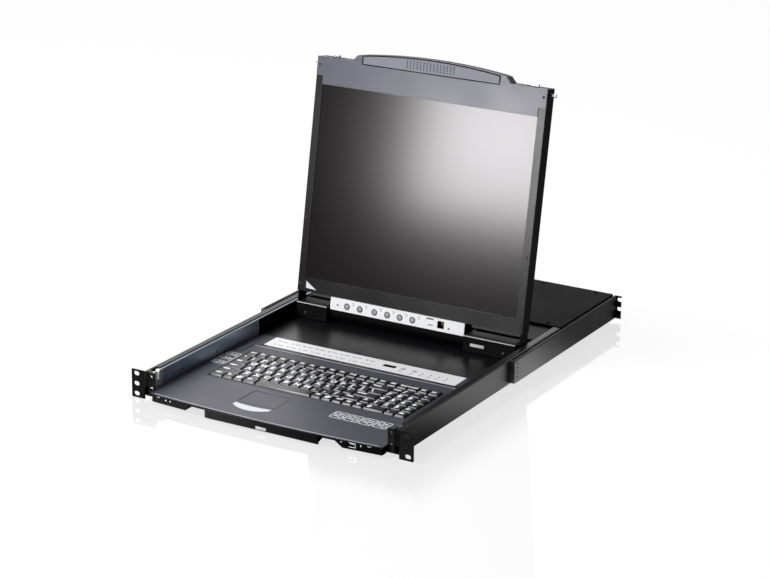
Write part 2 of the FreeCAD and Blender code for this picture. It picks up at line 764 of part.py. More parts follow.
def key_rows():
    """Each row: its name, front y, depth and list of key widths in units across the field."""
    number_pad = [1, 1, 1, 1]
    y = KEY_FIELD_FRONT
    plans = [
        ("space", [1.25, 1, 1, 1.25, 5.5, 1, 1, 1, 1, 1, 2, 1, 1]),
        ("lower", [2.25] + [1] * 10 + [1.75, 1] + number_pad),
        ("home", [1.75] + [1] * 11 + [2.25] + number_pad),
        ("upper", [1.5] + [1] * 12 + [1.5] + number_pad),
        ("number", [1] * 13 + [2] + number_pad),
    ]
    rows = []
    for name, widths in plans:
        rows.append((name, y, KEY_ROW_PITCH, widths))
        y += KEY_ROW_PITCH
    rows.append(("function", y + FUNCTION_ROW_GAP, FUNCTION_KEY_DEPTH, [1] * UNITS_ACROSS))
    return rows


def key_places():
    """For each row, the rectangle of each key's cap."""
    start = -UNITS_ACROSS * KEY_UNIT / 2.0
    places = {}
    for name, y, depth, widths in key_rows():
        x = start
        caps = []
        for width in widths:
            caps.append((x + KEY_GAP / 2.0, x + width * KEY_UNIT - KEY_GAP / 2.0,
                         y + KEY_GAP / 2.0, y + depth - KEY_GAP / 2.0))
            x += width * KEY_UNIT
        places[name] = caps
    return places


def key_field():
    """Limits of the opening for the keys."""
    half = UNITS_ACROSS * KEY_UNIT / 2.0 + KEY_MARGIN
    last = key_rows()[-1]
    return -half, half, KEY_FIELD_FRONT - KEY_MARGIN, last[1] + last[2] + KEY_MARGIN


def rectangle(x0, x1, y0, y1, z):
    corners = [V(x0, y0, z), V(x1, y0, z), V(x1, y1, z), V(x0, y1, z)]
    return Part.makePolygon(corners + [corners[0]])


def stem_centres(x0, x1):
    """A wide key has a stem near each end, and the others have one in the middle."""
    if x1 - x0 > 2.5 * KEY_UNIT:
        return [x0 + KEY_UNIT / 2.0, x1 - KEY_UNIT / 2.0]
    return [(x0 + x1) / 2.0]


def board_top():
    return Z_TRAY_TOP + BOARD_STACK


def key_base():
    return Z_DECK + KEY_PROUD - KEY_HEIGHT


def make_key_row(caps):
    base = key_base()
    top = base + KEY_HEIGHT
    keys = []
    for x0, x1, y0, y1 in caps:
        inset = KEY_TOP_INSET
        shoulder = top - KEY_EDGE
        cap = Part.makeLoft([
            rectangle(x0, x1, y0, y1, base),
            rectangle(x0 + inset * 0.7, x1 - inset * 0.7, y0 + inset * 0.5, y1 - inset * 0.7, shoulder),
            rectangle(x0 + inset, x1 - inset, y0 + inset * 0.9, y1 - inset, top),
        ], True, True)
        y = (y0 + y1) / 2.0
        h = STEM_SIZE / 2.0
        for x in stem_centres(x0, x1):
            cap = cap.fuse(box(x - h, x + h, y - h, y + h, board_top() + KEY_TRAVEL, base + 1.0))
        keys.append(cap.removeSplitter())
    return group(keys)


def make_guide_plate():
    """Plate that carries the keys: each stem runs in a square hole of it."""
    x0, x1, y0, y1 = key_field()
    z0 = board_top()
    z1 = key_base() - KEY_TRAVEL - KEY_CLEARANCE
    plate = box(x0, x1, y0, y1, z0, z1)
    under = box(x0 + GUIDE_RIM, x1 - GUIDE_RIM, y0 + GUIDE_RIM, y1 - GUIDE_RIM, z0 - 1, z1 - GUIDE_THICKNESS)
    holes = []
    h = STEM_SIZE / 2.0 + STEM_CLEARANCE
    for caps in key_places().values():
        for cx0, cx1, cy0, cy1 in caps:
            y = (cy0 + cy1) / 2.0
            for x in stem_centres(cx0, cx1):
                holes.append(box(x - h, x + h, y - h, y + h, z0, z1 + 1))
    return cut_all(plate.cut(under), holes)


def make_key_board():
    """Steel back plate with the contact sheet and the rubber sheet on it, as one stack."""
    x0, x1, y0, y1 = key_field()
    return box(x0 - 2, x1 + 2, y0 - 2, y1 + 2, Z_TRAY_TOP, board_top())


def click_outline(half, margin):
    """One touchpad button of a crescent pair; half is -1 for the left one and 1 for the right."""
    a = CLICK_WIDTH / 2.0
    top_mid = CLICK_MIDDLE_Y
    low_mid = CLICK_MIDDLE_Y - CLICK_MIDDLE_DEPTH
    low_end = CLICK_END_Y - CLICK_END_DEPTH

    def on_arc(t, middle, end):
        """Height of the edge at a share t of the way from the middle to the end."""
        return middle + (end - middle) * t * t

    inner = CLICK_SPLIT / 2.0 - margin
    outer = a + margin
    mid = (inner + outer) / 2.0
    t_in = inner / a
    t_mid = mid / a
    top = [(inner, on_arc(t_in, top_mid, CLICK_END_Y) + margin),
           (mid, on_arc(t_mid, top_mid, CLICK_END_Y) + margin),
           (outer, CLICK_END_Y + margin)]
    low = [(inner, on_arc(t_in, low_mid, low_end) - margin),
           (mid, on_arc(t_mid, low_mid, low_end) - margin),
           (outer, low_end - margin)]
    place_x = [[(PAD_X + half * x, y) for x, y in row] for row in (top, low)]
    top, low = place_x
    return [tuple(top), (top[2], low[2]), tuple(reversed(low)), (low[0], top[0])]


def make_click(half):
    z1 = Z_DECK + CLICK_PROUD
    shape = curved_prism(click_outline(half, 0.0), "XY", z1 - CLICK_THICKNESS, CLICK_THICKNESS)
    return shape


def pad_limits():
    return PAD_X - PAD_WIDTH / 2.0, PAD_X + PAD_WIDTH / 2.0, PAD_FRONT, PAD_FRONT + PAD_DEPTH


def make_touchpad():
    x0, x1, y0, y1 = pad_limits()
    face = box(x0, x1, y0, y1, Z_DECK_UNDER, Z_DECK - SEAT)
    face = round_edges(face, 3.0, (0, 0, 1))
    module = box(x0 - 2, x1 + 2, y0 - 2, y1 + 2, Z_DECK_UNDER - PAD_MODULE, Z_DECK_UNDER)
    return face.fuse(module).removeSplitter()


def port_button_places():
    return [(PORT_BUTTON_X + PORT_BUTTON_PITCH * n, WINDOW_Y) for n in range(2)]


def lamp_places():
    return [(LAMP_X + LAMP_PITCH * n, WINDOW_Y - 2.0) for n in range(LAMPS)]


def make_deck():
    """Top plate of the tray, with openings for the keys, touchpad and buttons."""
    deck = curved_prism(deck_outline(0.0, DECK_DEPTH), "XY", Z_DECK_UNDER, DECK_THICKNESS)
    z0 = Z_DECK_UNDER - 1
    z1 = Z_DECK + 1
    x0, x1, y0, y1 = key_field()
    cuts = [box(x0, x1, y0, y1, z0, z1)]
    x0, x1, y0, y1 = pad_limits()
    c = PAD_CLEARANCE
    cuts.append(round_edges(box(x0 - c, x1 + c, y0 - c, y1 + c, z0, z1), 3.0 + c, (0, 0, 1)))
    for half in (-1, 1):
        cuts.append(curved_prism(click_outline(half, PAD_CLEARANCE), "XY", z0, z1 - z0))
    for x, y in port_button_places():
        cuts.append(rod((x, y, z0), (x, y, z1), PORT_BUTTON_RADIUS + BUTTON_CLEARANCE))
    deck = cut_all(deck, cuts)
    pad = box(-193.5, -184.0, 205.0, 246.0, Z_DECK, Z_DECK + 0.8)
    pad = round_edges(pad, 2.0, (0, 0, 1))
    return deck.fuse(pad).removeSplitter()


def make_rear_deck():
    """Stepped sheet behind the keyboard: the sunk floor, a riser and the shelf over the rear."""
    y0 = DECK_DEPTH + SEAT
    shelf_z = Z_DECK + SHELF_RISE - 10.0
    path = [
        (TRAY_DEPTH, shelf_z - REAR_SHEET),
        (RISER_Y, shelf_z - REAR_SHEET),
        (RISER_Y, Z_DECK - REAR_SHEET),
        (y0, Z_DECK - REAR_SHEET),
    ]
    half = TRAY_HALF_WIDTH - TRAY_SHEET - SEAT
    path = list(reversed(path))
    return bent_sheet(path, REAR_SHEET, "YZ", -half, 2 * half)


def make_port_strip():
    z0 = Z_DECK
    plate = box(STRIP_X - STRIP_WIDTH / 2.0, STRIP_X + STRIP_WIDTH / 2.0, STRIP_FRONT,
                STRIP_FRONT + STRIP_DEPTH, z0, z0 + STRIP_THICKNESS)
    plate = round_edges(plate, 1.5, (0, 0, 1))
    cuts = [box(WINDOW_X - WINDOW_WIDTH / 2.0, WINDOW_X + WINDOW_WIDTH / 2.0,
                WINDOW_Y - WINDOW_DEPTH / 2.0, WINDOW_Y + WINDOW_DEPTH / 2.0, z0 - 1, z0 + 2)]
    for x, y in port_button_places():
        cuts.append(rod((x, y, z0 - 1), (x, y, z0 + 2), PORT_BUTTON_RADIUS + BUTTON_CLEARANCE))
    for x, y in lamp_places():
        cuts.append(rod((x, y, z0 - 1), (x, y, z0 + 2), LAMP_RADIUS))
    return cut_all(plate, cuts)


def make_strip_window():
    z0 = Z_DECK
    z1 = z0 + STRIP_THICKNESS
    pieces = [box(WINDOW_X - WINDOW_WIDTH / 2.0, WINDOW_X + WINDOW_WIDTH / 2.0,
                  WINDOW_Y - WINDOW_DEPTH / 2.0, WINDOW_Y + WINDOW_DEPTH / 2.0, z0, z1)]
    for x, y in lamp_places():
        pieces.append(rod((x, y, z0), (x, y, z1), LAMP_RADIUS))
    return group(pieces)


def make_port_button(n):
    x, y = port_button_places()[n]
    z1 = Z_DECK + STRIP_THICKNESS + BUTTON_PROUD
    return rod((x, y, Z_DECK_UNDER - 2.0), (x, y, z1), PORT_BUTTON_RADIUS)


def fascia_plan(inset):
    """Plan of the fascia: its front follows the deck's bowed edge at an inset."""
    front_y = -DECK_FRONT + DECK_BOW + inset
    half = DECK_FRONT_HALF - inset
    return [
        ((-half, front_y), (0, -DECK_FRONT + inset), (half, front_y)),
        ((half, front_y), (half, 0)),
        ((half, 0), (-half, 0)),
        ((-half, 0), (-half, front_y)),
    ]


def make_fascia():
    """Lip under the deck's front edge, with a deeper pod at each end."""
    z1 = Z_DECK_UNDER
    lip = z1 - LIP_HEIGHT
    low = z1 - POD_HEIGHT
    half = DECK_FRONT_HALF
    gap = HANDLE_HALF + SEAT
    left = [(-half, z1), (-half, low), (LEFT_POD_END - LEFT_POD_TAPER, low),
            (LEFT_POD_END, lip), (-gap, lip), (-gap, z1)]
    right = [(gap, z1), (gap, lip), (RIGHT_POD_START, lip),
             (RIGHT_POD_START + RIGHT_POD_TAPER, low), (half, low), (half, z1)]
    plan = curved_prism(fascia_plan(FASCIA_INSET), "XY", low - 1, POD_HEIGHT + 2)
    pieces = []
    for outline in (left, right):
        solid = prism(outline, "XZ", -DECK_FRONT - 5, DECK_FRONT + 5)
        pieces.append(solid.common(plan))
    usb_z = z1 - 5.0
    usb = box(USB_X - USB_WIDTH / 2.0, USB_X + USB_WIDTH / 2.0, -DECK_FRONT - 5,
              -DECK_FRONT + DECK_BOW + USB_DEPTH - 4.0, usb_z - USB_HEIGHT / 2.0, usb_z + USB_HEIGHT / 2.0)
    pieces[1] = pieces[1].cut(usb)
    return group(pieces)


def make_handle():
    """Pull bar: a folded plate under the deck's edge with a finger gap behind it."""
    z1 = Z_DECK_UNDER
    y0 = -DECK_FRONT - HANDLE_PROUD + FASCIA_INSET
    t = HANDLE_SHEET
    points = [
        (y0, z1 - HANDLE_DROP + HANDLE_ROUND),
        (y0 + HANDLE_ROUND, z1 - HANDLE_DROP),
        (y0 + t + 1.5, z1 - HANDLE_DROP),
        (y0 + t + 1.5, z1 - HANDLE_DROP + 1.5),
        (y0 + t, z1 - HANDLE_DROP + 2.5),
        (y0 + t, z1 - t - 1.0),
        (y0 + t + 1.0, z1 - t),
        (0, z1 - t),
        (0, z1),
        (y0, z1),
    ]
    bar = prism(points, "YZ", -HANDLE_HALF, 2 * HANDLE_HALF)
    web = [(y0 + t / 2.0, z1 - t / 2.0), (y0 + t / 2.0, z1 - HANDLE_DROP + 2.0), (0, z1 - t - 3.0), (0, z1 - t / 2.0)]
    ends = [prism(web, "YZ", x, t) for x in (-HANDLE_HALF, HANDLE_HALF - t)]
    return bar.fuse(ends).removeSplitter()


def make_front_flange():
    """Upright plate in front of the slide, with its fixing leg along the tray's side."""
    z0 = Z_EAR + FLANGE_BOTTOM
    z1 = Z_EAR + FLANGE_TOP
    plate = box(FLANGE_INNER, FLANGE_OUTER, -EAR_THICKNESS, -EAR_THICKNESS + FLANGE_SHEET, z0, z1)
    x_hole = (FLANGE_INNER + FLANGE_OUTER) / 2.0
    cuts = [
        rod((x_hole, -5, z1 - 6.0), (x_hole, 5, z1 - 6.0), 2.0),
        prism([(x_hole - 2.4, z0 + 9), (x_hole + 2.4, z0 + 9), (x_hole + 2.4, z0 + 15),
               (x_hole - 2.4, z0 + 15)], "XZ", -5, 10),
    ]
    leg_x = TRAY_HALF_WIDTH - TRAY_SHEET
    leg = box(leg_x - WALL, leg_x, -EAR_THICKNESS, FLANGE_LEG, Z_TRAY_TOP + BEND_RADIUS, Z_DECK_UNDER - SEAT)
    return cut_all(plate.fuse(leg).removeSplitter(), cuts)


def lid_place(shape):
    """Carries a lid piece from the upright lid about the hinge axis to its place in the part."""
    moved = shape.copy()
    moved.rotate(V(0, 0, 0), V(1, 0, 0), -LID_TILT)
    moved.translate(V(0, AXIS_Y, AXIS_Z))
    return moved


def lid_box(x0, x1, depth0, depth1, rise0, rise1):
    """A box in the lid: depth is behind its front face and rise is above its lower edge."""
    return box(x0, x1, depth0 - LID_FRONT_OFFSET, depth1 - LID_FRONT_OFFSET,
               rise0 + LID_BOTTOM_OFFSET, rise1 + LID_BOTTOM_OFFSET)


def lid_rod_depth(x, rise, depth0, depth1, radius):
    z = rise + LID_BOTTOM_OFFSET
    return rod((x, depth0 - LID_FRONT_OFFSET, z), (x, depth1 - LID_FRONT_OFFSET, z), radius)


def arched_outline(half, end_rise, middle_rise, base):
    """Low arch over the lid's upper edge: steep ends and one long arc."""
    z = LID_BOTTOM_OFFSET + LID_HEIGHT
    return [
        ((-half, z + end_rise), (0, z + middle_rise), (half, z + end_rise)),
        ((half, z + end_rise), (half, z + base)),
        ((half, z + base), (-half, z + base)),
        ((-half, z + base), (-half, z + end_rise)),
    ]


def make_lid_shell():
    """Back shell of the lid: a pan with the arched hump that holds the carrying grip."""
    half = LID_WIDTH / 2.0
    outer = lid_box(-half, half, BEZEL_THICKNESS, LID_THICKNESS, 0, LID_HEIGHT)
    outer = round_edges(outer, 2.0, (0, 1, 0))
    z = LID_BOTTOM_OFFSET + LID_HEIGHT
    wide = GRIP_HALF + HUMP_MARGIN
    hump = curved_prism([
        ((-GRIP_HALF - 2, z + GRIP_END_RISE + HUMP_TOP), (0, z + GRIP_MIDDLE_RISE + HUMP_TOP),
         (GRIP_HALF + 2, z + GRIP_END_RISE + HUMP_TOP)),
        ((GRIP_HALF + 2, z + GRIP_END_RISE + HUMP_TOP), (wide - 2, z + GRIP_END_RISE)),
        ((wide - 2, z + GRIP_END_RISE), (wide + 8, z - 1)),
        ((wide + 8, z - 1), (-wide - 8, z - 1)),
        ((-wide - 8, z - 1), (-wide + 2, z + GRIP_END_RISE)),
        ((-wide + 2, z + GRIP_END_RISE), (-GRIP_HALF - 2, z + GRIP_END_RISE + HUMP_TOP)),
    ], "XZ", BEZEL_THICKNESS - LID_FRONT_OFFSET, LID_THICKNESS - BEZEL_THICKNESS - 3.0)
    shell = outer.fuse(hump).removeSplitter()
    t = LID_SHEET
    inner = lid_box(-half + t, half - t, BEZEL_THICKNESS - 1, LID_THICKNESS - t, t, LID_HEIGHT - t)
    shell = shell.cut(inner)
    pocket = curved_prism(
        arched_outline(GRIP_HALF + 0.1, GRIP_END_RISE, GRIP_MIDDLE_RISE, -GRIP_BELOW),
        "XZ", BEZEL_THICKNESS - 1 - LID_FRONT_OFFSET, GRIP_THICKNESS - BAND_PROUD / 2.0 - BEZEL_THICKNESS + 1)
    cuts = [pocket]
    for side in (-1, 1):
        z_pin = LATCH_Z - LID_BOTTOM_OFFSET
        cuts.append(rod((side * (half - 5), LATCH_Y, LATCH_Z), (side * (half + 5), LATCH_Y, LATCH_Z),
                        LATCH_PIN_RADIUS + LATCH_PIN_CLEARANCE))
        x0 = side * LATCH_NUB_X
        inward = -side * LATCH_TRAVEL
        lo = min(x0, x0 + inward) - LATCH_NUB_WIDTH / 2.0 - LATCH_PIN_CLEARANCE
        hi = max(x0, x0 + inward) + LATCH_NUB_WIDTH / 2.0 + LATCH_PIN_CLEARANCE
        d = LATCH_NUB_DEPTH / 2.0 + LATCH_PIN_CLEARANCE
        cuts.append(lid_box(lo, hi, LATCH_DEPTH - d, LATCH_DEPTH + d, LID_HEIGHT - t * 2, LID_HEIGHT + t))
    return lid_place(cut_all(shell, cuts))


def band_bottom():
    return SCREEN_BOTTOM + SCREEN_HEIGHT


def make_bezel():
    """Front frame around the screen, up to the top band."""
    half = LID_WIDTH / 2.0
    wing = LID_HEIGHT - BAND_WING_DROP
    frame = lid_box(-half, half, 0, BEZEL_THICKNESS, 0, wing)
    opening = lid_box(-SCREEN_WIDTH / 2.0, SCREEN_WIDTH / 2.0, -1, BEZEL_THICKNESS + 1,
                      SCREEN_BOTTOM, LID_HEIGHT)
    return lid_place(frame.cut(opening))


def make_top_band():
    """Band over the screen with a wing at each corner, cut out for the grip."""
    half = LID_WIDTH / 2.0
    inner = SCREEN_WIDTH / 2.0
    low = band_bottom()
    wing = LID_HEIGHT - BAND_WING_DROP
    wide = lid_box(-half, half, -BAND_PROUD, BEZEL_THICKNESS, wing, LID_HEIGHT)
    middle = lid_box(-inner, inner, -BAND_PROUD, BEZEL_THICKNESS, low, wing + 1)
    band = wide.fuse(middle).removeSplitter()
    z = LID_BOTTOM_OFFSET + LID_HEIGHT
    wide_hump = GRIP_HALF + HUMP_MARGIN
    hump = curved_prism([
        ((-GRIP_HALF - 2, z + GRIP_END_RISE + HUMP_TOP), (0, z + GRIP_MIDDLE_RISE + HUMP_TOP),
         (GRIP_HALF + 2, z + GRIP_END_RISE + HUMP_TOP)),
        ((GRIP_HALF + 2, z + GRIP_END_RISE + HUMP_TOP), (wide_hump - 2, z + GRIP_END_RISE)),
        ((wide_hump - 2, z + GRIP_END_RISE), (wide_hump + 8, z - 1)),
        ((wide_hump + 8, z - 1), (-wide_hump - 8, z - 1)),
        ((-wide_hump - 8, z - 1), (-wide_hump + 2, z + GRIP_END_RISE)),
        ((-wide_hump + 2, z + GRIP_END_RISE), (-GRIP_HALF - 2, z + GRIP_END_RISE + HUMP_TOP)),
    ], "XZ", -LID_FRONT_OFFSET, BEZEL_THICKNESS)
    band = band.fuse(hump).removeSplitter()
    notch = curved_prism(
        arched_outline(GRIP_HALF + 0.1, GRIP_END_RISE, GRIP_MIDDLE_RISE, -GRIP_BELOW),
        "XZ", -LID_FRONT_OFFSET - 5, BEZEL_THICKNESS + 10)
    return lid_place(band.cut(notch))


def make_grip():
    """Carrying grip set into the hump, with its field of dimples."""
    grip = curved_prism(
        arched_outline(GRIP_HALF, GRIP_END_RISE, GRIP_MIDDLE_RISE, -GRIP_BELOW),
        "XZ", -LID_FRONT_OFFSET - BAND_PROUD / 2.0, GRIP_THICKNESS)
    tools = []
    z_mid = LID_BOTTOM_OFFSET + LID_HEIGHT + (GRIP_MIDDLE_RISE - GRIP_BELOW) / 2.0
    for column in range(DIMPLE_COLUMNS):
        for row in range(DIMPLE_ROWS):
            x = (column - (DIMPLE_COLUMNS - 1) / 2.0) * DIMPLE_PITCH_X
            z = z_mid + (row - (DIMPLE_ROWS - 1) / 2.0) * DIMPLE_PITCH_Z
            corners = [
                (x + DIMPLE_RADIUS * math.cos(math.radians(60 * n)),
                 z + DIMPLE_RADIUS * math.sin(math.radians(60 * n)))
                for n in range(6)
            ]
            tools.append(prism(corners, "XZ", -LID_FRONT_OFFSET - BAND_PROUD, DIMPLE_DEPTH + BAND_PROUD / 2.0))
    return lid_place(cut_all(grip, tools))


def make_screen():
    """Screen panel behind the bezel."""
    half = SCREEN_WIDTH / 2.0 + PANEL_LAP
    face = lid_box(-half, half, BEZEL_THICKNESS, BEZEL_THICKNESS + PANEL_THICKNESS,
                   SCREEN_BOTTOM - PANEL_LAP, band_bottom() + PANEL_LAP)
    glass = lid_box(-SCREEN_WIDTH / 2.0, SCREEN_WIDTH / 2.0, PANEL_RECESS, BEZEL_THICKNESS + 1,
                    SCREEN_BOTTOM, band_bottom())
    return lid_place(face.fuse(glass).removeSplitter())


def beam_limits():
    return -LEFT_BLOCK_INNER_X + BEAM_GAP, RIGHT_BLOCK_INNER_X - BEAM_GAP


def control_places():
    return [(x, -CONTROL_BUTTON_DROP) for x in CONTROL_BUTTON_XS]


def make_hinge_beam():
    """Middle beam under the lid, round about the hinge axis, with the two hinge shafts."""
    x0, x1 = beam_limits()
    front = -BEAM_RADIUS
    back = LID_THICKNESS - LID_FRONT_OFFSET
    top = LID_BOTTOM_OFFSET
    web = box(x0, x1, front, back, 0, top)
    tube = rod((x0, 0, 0), (x1, 0, 0), BEAM_RADIUS)
    beam = web.fuse(tube).removeSplitter()
    cuts = []
    for x, rise in control_places():
        z = LID_BOTTOM_OFFSET + rise
        cuts.append(rod((x, front - 1, z), (x, front + CONTROL_BUTTON_DEPTH, z),
                        CONTROL_BUTTON_RADIUS + BUTTON_CLEARANCE))
    z = LID_BOTTOM_OFFSET - SOCKET_DROP
    h = SOCKET_SIZE / 2.0
    cuts.append(box(SOCKET_X - h, SOCKET_X + h, front - 1, front + SOCKET_DEPTH, z - h, z + h))
    beam = cut_all(beam, cuts)
    right = rod((x1 - 5, 0, 0), (ARM_INNER_X + ARM_THICKNESS, 0, 0), SHAFT_RADIUS)
    left = rod((-ARM_INNER_X - ARM_THICKNESS, 0, 0), (x0 + 5, 0, 0), SHAFT_RADIUS)
    return lid_place(beam.fuse([right, left]).removeSplitter())


def make_hinge_arm():
    """End arm of the lid: a flat plate from inside the lid's edge down to the hinge shaft."""
    back = LID_THICKNESS - LID_FRONT_OFFSET - LID_SHEET
    front = -LID_FRONT_OFFSET + BEZEL_THICKNESS
    z = LID_BOTTOM_OFFSET
    x0 = ARM_INNER_X
    round_end = rod((x0, 0, 0), (x0 + ARM_THICKNESS, 0, 0), ARM_RADIUS)
    plate = prism([(-ARM_RADIUS, 0), (ARM_RADIUS, 0), (back, z), (front, z)], "YZ", x0, ARM_THICKNESS)
    bore = rod((x0 - 1, 0, 0), (x0 + ARM_THICKNESS + 1, 0, 0), SHAFT_RADIUS + SHAFT_CLEARANCE)
    return lid_place(round_end.fuse(plate).removeSplitter().cut(bore))


def make_control_strip():
    x0, x1 = beam_limits()
    depth0 = LID_FRONT_OFFSET - BEAM_RADIUS - CONTROL_THICKNESS
    plate = lid_box(x0, x1 - 1.0, depth0, depth0 + CONTROL_THICKNESS, -CONTROL_HEIGHT - 0.3, -0.3)
    cuts = []
    for x, rise in control_places():
        cuts.append(lid_rod_depth(x, rise, depth0 - 1, depth0 + CONTROL_THICKNESS + 1,
                                  CONTROL_BUTTON_RADIUS + BUTTON_CLEARANCE))
    h = SOCKET_SIZE / 2.0
    cuts.append(lid_box(SOCKET_X - h, SOCKET_X + h, depth0 - 1, depth0 + CONTROL_THICKNESS + 1,
                        -SOCKET_DROP - h, -SOCKET_DROP + h))
    return lid_place(cut_all(plate, cuts))


def make_control_button(n):
    x, rise = control_places()[n]
    depth0 = LID_FRONT_OFFSET - BEAM_RADIUS - CONTROL_THICKNESS - BUTTON_PROUD
    depth1 = LID_FRONT_OFFSET - BEAM_RADIUS + CONTROL_BUTTON_DEPTH - CONTROL_BUTTON_TRAVEL - 0.2
    button = lid_rod_depth(x, rise, depth0, depth1, CONTROL_BUTTON_RADIUS)
    front_edges = [e for e in button.Edges
                   if e.Curve.TypeId == "Part::GeomCircle"
                   and e.Curve.Center.y < depth0 - LID_FRONT_OFFSET + 0.1]
    return lid_place(button.makeFillet(BUTTON_PROUD * 0.8, front_edges))


def make_latch(side):
    """Sprung bolt of the lid: the side pin, the bar behind it and the thumb nub on top."""
    half = LID_WIDTH / 2.0
    x_tip = side * (half + LATCH_PIN_REACH)
    x_bar = side * (half - LID_SHEET - LATCH_TRAVEL * 0.2 - 10.0)
    pin = rod((x_bar, LATCH_Y, LATCH_Z), (x_tip, LATCH_Y, LATCH_Z), LATCH_PIN_RADIUS)
    x0 = min(side * LATCH_NUB_X - LATCH_NUB_WIDTH / 2.0, x_bar)
    x1 = max(side * LATCH_NUB_X + LATCH_NUB_WIDTH / 2.0, x_bar)
    d = LATCH_NUB_DEPTH / 2.0
    bar = box(x0, x1, LATCH_Y - d, LATCH_Y + d, LATCH_Z - 3.0, LATCH_Z + 4.0)
    top = LID_BOTTOM_OFFSET + LID_HEIGHT + LATCH_NUB_HEIGHT
    n0 = side * LATCH_NUB_X - LATCH_NUB_WIDTH / 2.0
    nub = box(n0, n0 + LATCH_NUB_WIDTH, LATCH_Y - d, LATCH_Y + d, LATCH_Z, top)
    return lid_place(bar.fuse([pin, nub]).removeSplitter())


def make_hinge_mount(inner_x, outer_x):
    """Hinge block on the tray: a folded bracket with end cheeks, the barrel and its leaf."""
    y0 = AXIS_Y - BLOCK_FRONT
    y1 = AXIS_Y + BLOCK_REAR
    top = AXIS_Z + BLOCK_TOP_RISE
    t = BLOCK_SHEET
    path = [
        (y0 + BLOCK_FLANGE, top),
        (y0, top),
        (y0, Z_DECK),
        (y1, Z_DECK),
        (y1, AXIS_Z),
    ]
    body = bent_sheet(path, t, "YZ", inner_x, outer_x - inner_x)
    cheek = box(inner_x, inner_x + t, y0 + t / 2.0, y1 - t / 2.0, Z_DECK + t / 2.0, AXIS_Z + BARREL_RADIUS)
    other = box(outer_x - t, outer_x, y0 + t / 2.0, y1 - t / 2.0, Z_DECK + t / 2.0, AXIS_Z + BARREL_RADIUS)
    bracket = body.fuse([cheek, other]).removeSplitter()
    hole = rod((inner_x - 1, AXIS_Y, AXIS_Z), (outer_x + 1, AXIS_Y, AXIS_Z), SHAFT_RADIUS + SHAFT_CLEARANCE)
    bracket = bracket.cut(hole)
    barrel = rod((inner_x + t, AXIS_Y, AXIS_Z), (outer_x - t, AXIS_Y, AXIS_Z), BARREL_RADIUS).cut(hole)
    leaf_z = AXIS_Z + BARREL_RADIUS
    leaf = box(inner_x + 4, outer_x - 4, AXIS_Y - 9, AXIS_Y + 9, leaf_z, leaf_z + LEAF_THICKNESS)
    return group([bracket, barrel, leaf])


def bracket_z():
    return Z_BOTTOM, Z_TOP


def guide_top():
    return Z_TOP - COVER_SIDE - SEAT


def make_rear_bracket():
    """Right rear rack bracket: a channel beside the housing with an ear at the back."""
    z0, z1 = bracket_z()
    xo = BRACKET_OUTER
    xi = xo - BRACKET_FLANGE
    path = [(xi, z0), (xo, z0), (xo, z1), (xi, z1), (xi, guide_top() + GUIDE_CLEARANCE)]
    body = bent_sheet(path, BRACKET_SHEET, "XZ", BRACKET_FRONT, BODY_DEPTH - BRACKET_FRONT)
    front = box(X_WALL + GUIDE_CLEARANCE, xo - BRACKET_SHEET / 2.0, BRACKET_FRONT,
                BRACKET_FRONT + BRACKET_SHEET, z0 + BRACKET_SHEET / 2.0, z1 - BRACKET_SHEET / 2.0)
    ear = box(xo - BRACKET_SHEET, BRACKET_EAR_REACH, BODY_DEPTH - EAR_THICKNESS, BODY_DEPTH, z0, z1)
    bracket = body.fuse([front, ear]).removeSplitter()
    corner = prism([(BRACKET_FRONT - 1, z0 - 1), (BRACKET_FRONT + BRACKET_CHAMFER * 3.0, z0 - 1),
                    (BRACKET_FRONT - 1, z0 + BRACKET_CHAMFER * 0.15)], "YZ", 0, PANEL_WIDTH)
    cuts = [corner]
    for z in (-HOLE_PITCH_Z, 0, HOLE_PITCH_Z):
        if z - BRACKET_NOTCH / 2.0 > z0 and z + BRACKET_NOTCH / 2.0 < z1:
            notch = slot("XZ", HOLE_SPACING_X / 2.0 + BRACKET_NOTCH / 2.0, z, BRACKET_NOTCH * 2.0,
                         BRACKET_NOTCH, BODY_DEPTH - EAR_THICKNESS - 1, EAR_THICKNESS + 2)
            cuts.append(notch)
    for n in range(4):
        z = z1 - 6.0 - n * 7.4
        cuts.append(rod((xo - 5, BRACKET_FRONT + 8, z), (xo + 5, BRACKET_FRONT + 8, z), RAIL_HOLE_RADIUS))
    return cut_all(bracket, cuts)


def make_bracket_guide():
    """Rail on the housing wall that the rear bracket runs on."""
    z0, z1 = bracket_z()
    t = BRACKET_SHEET
    c = GUIDE_CLEARANCE
    xo = BRACKET_OUTER - t - c
    path = [(xo, guide_top()), (X_WALL, guide_top()), (X_WALL, z0 + t + c), (xo, z0 + t + c)]
    return bent_sheet(path, t, "XZ", RAIL_FRONT, RAIL_LENGTH)


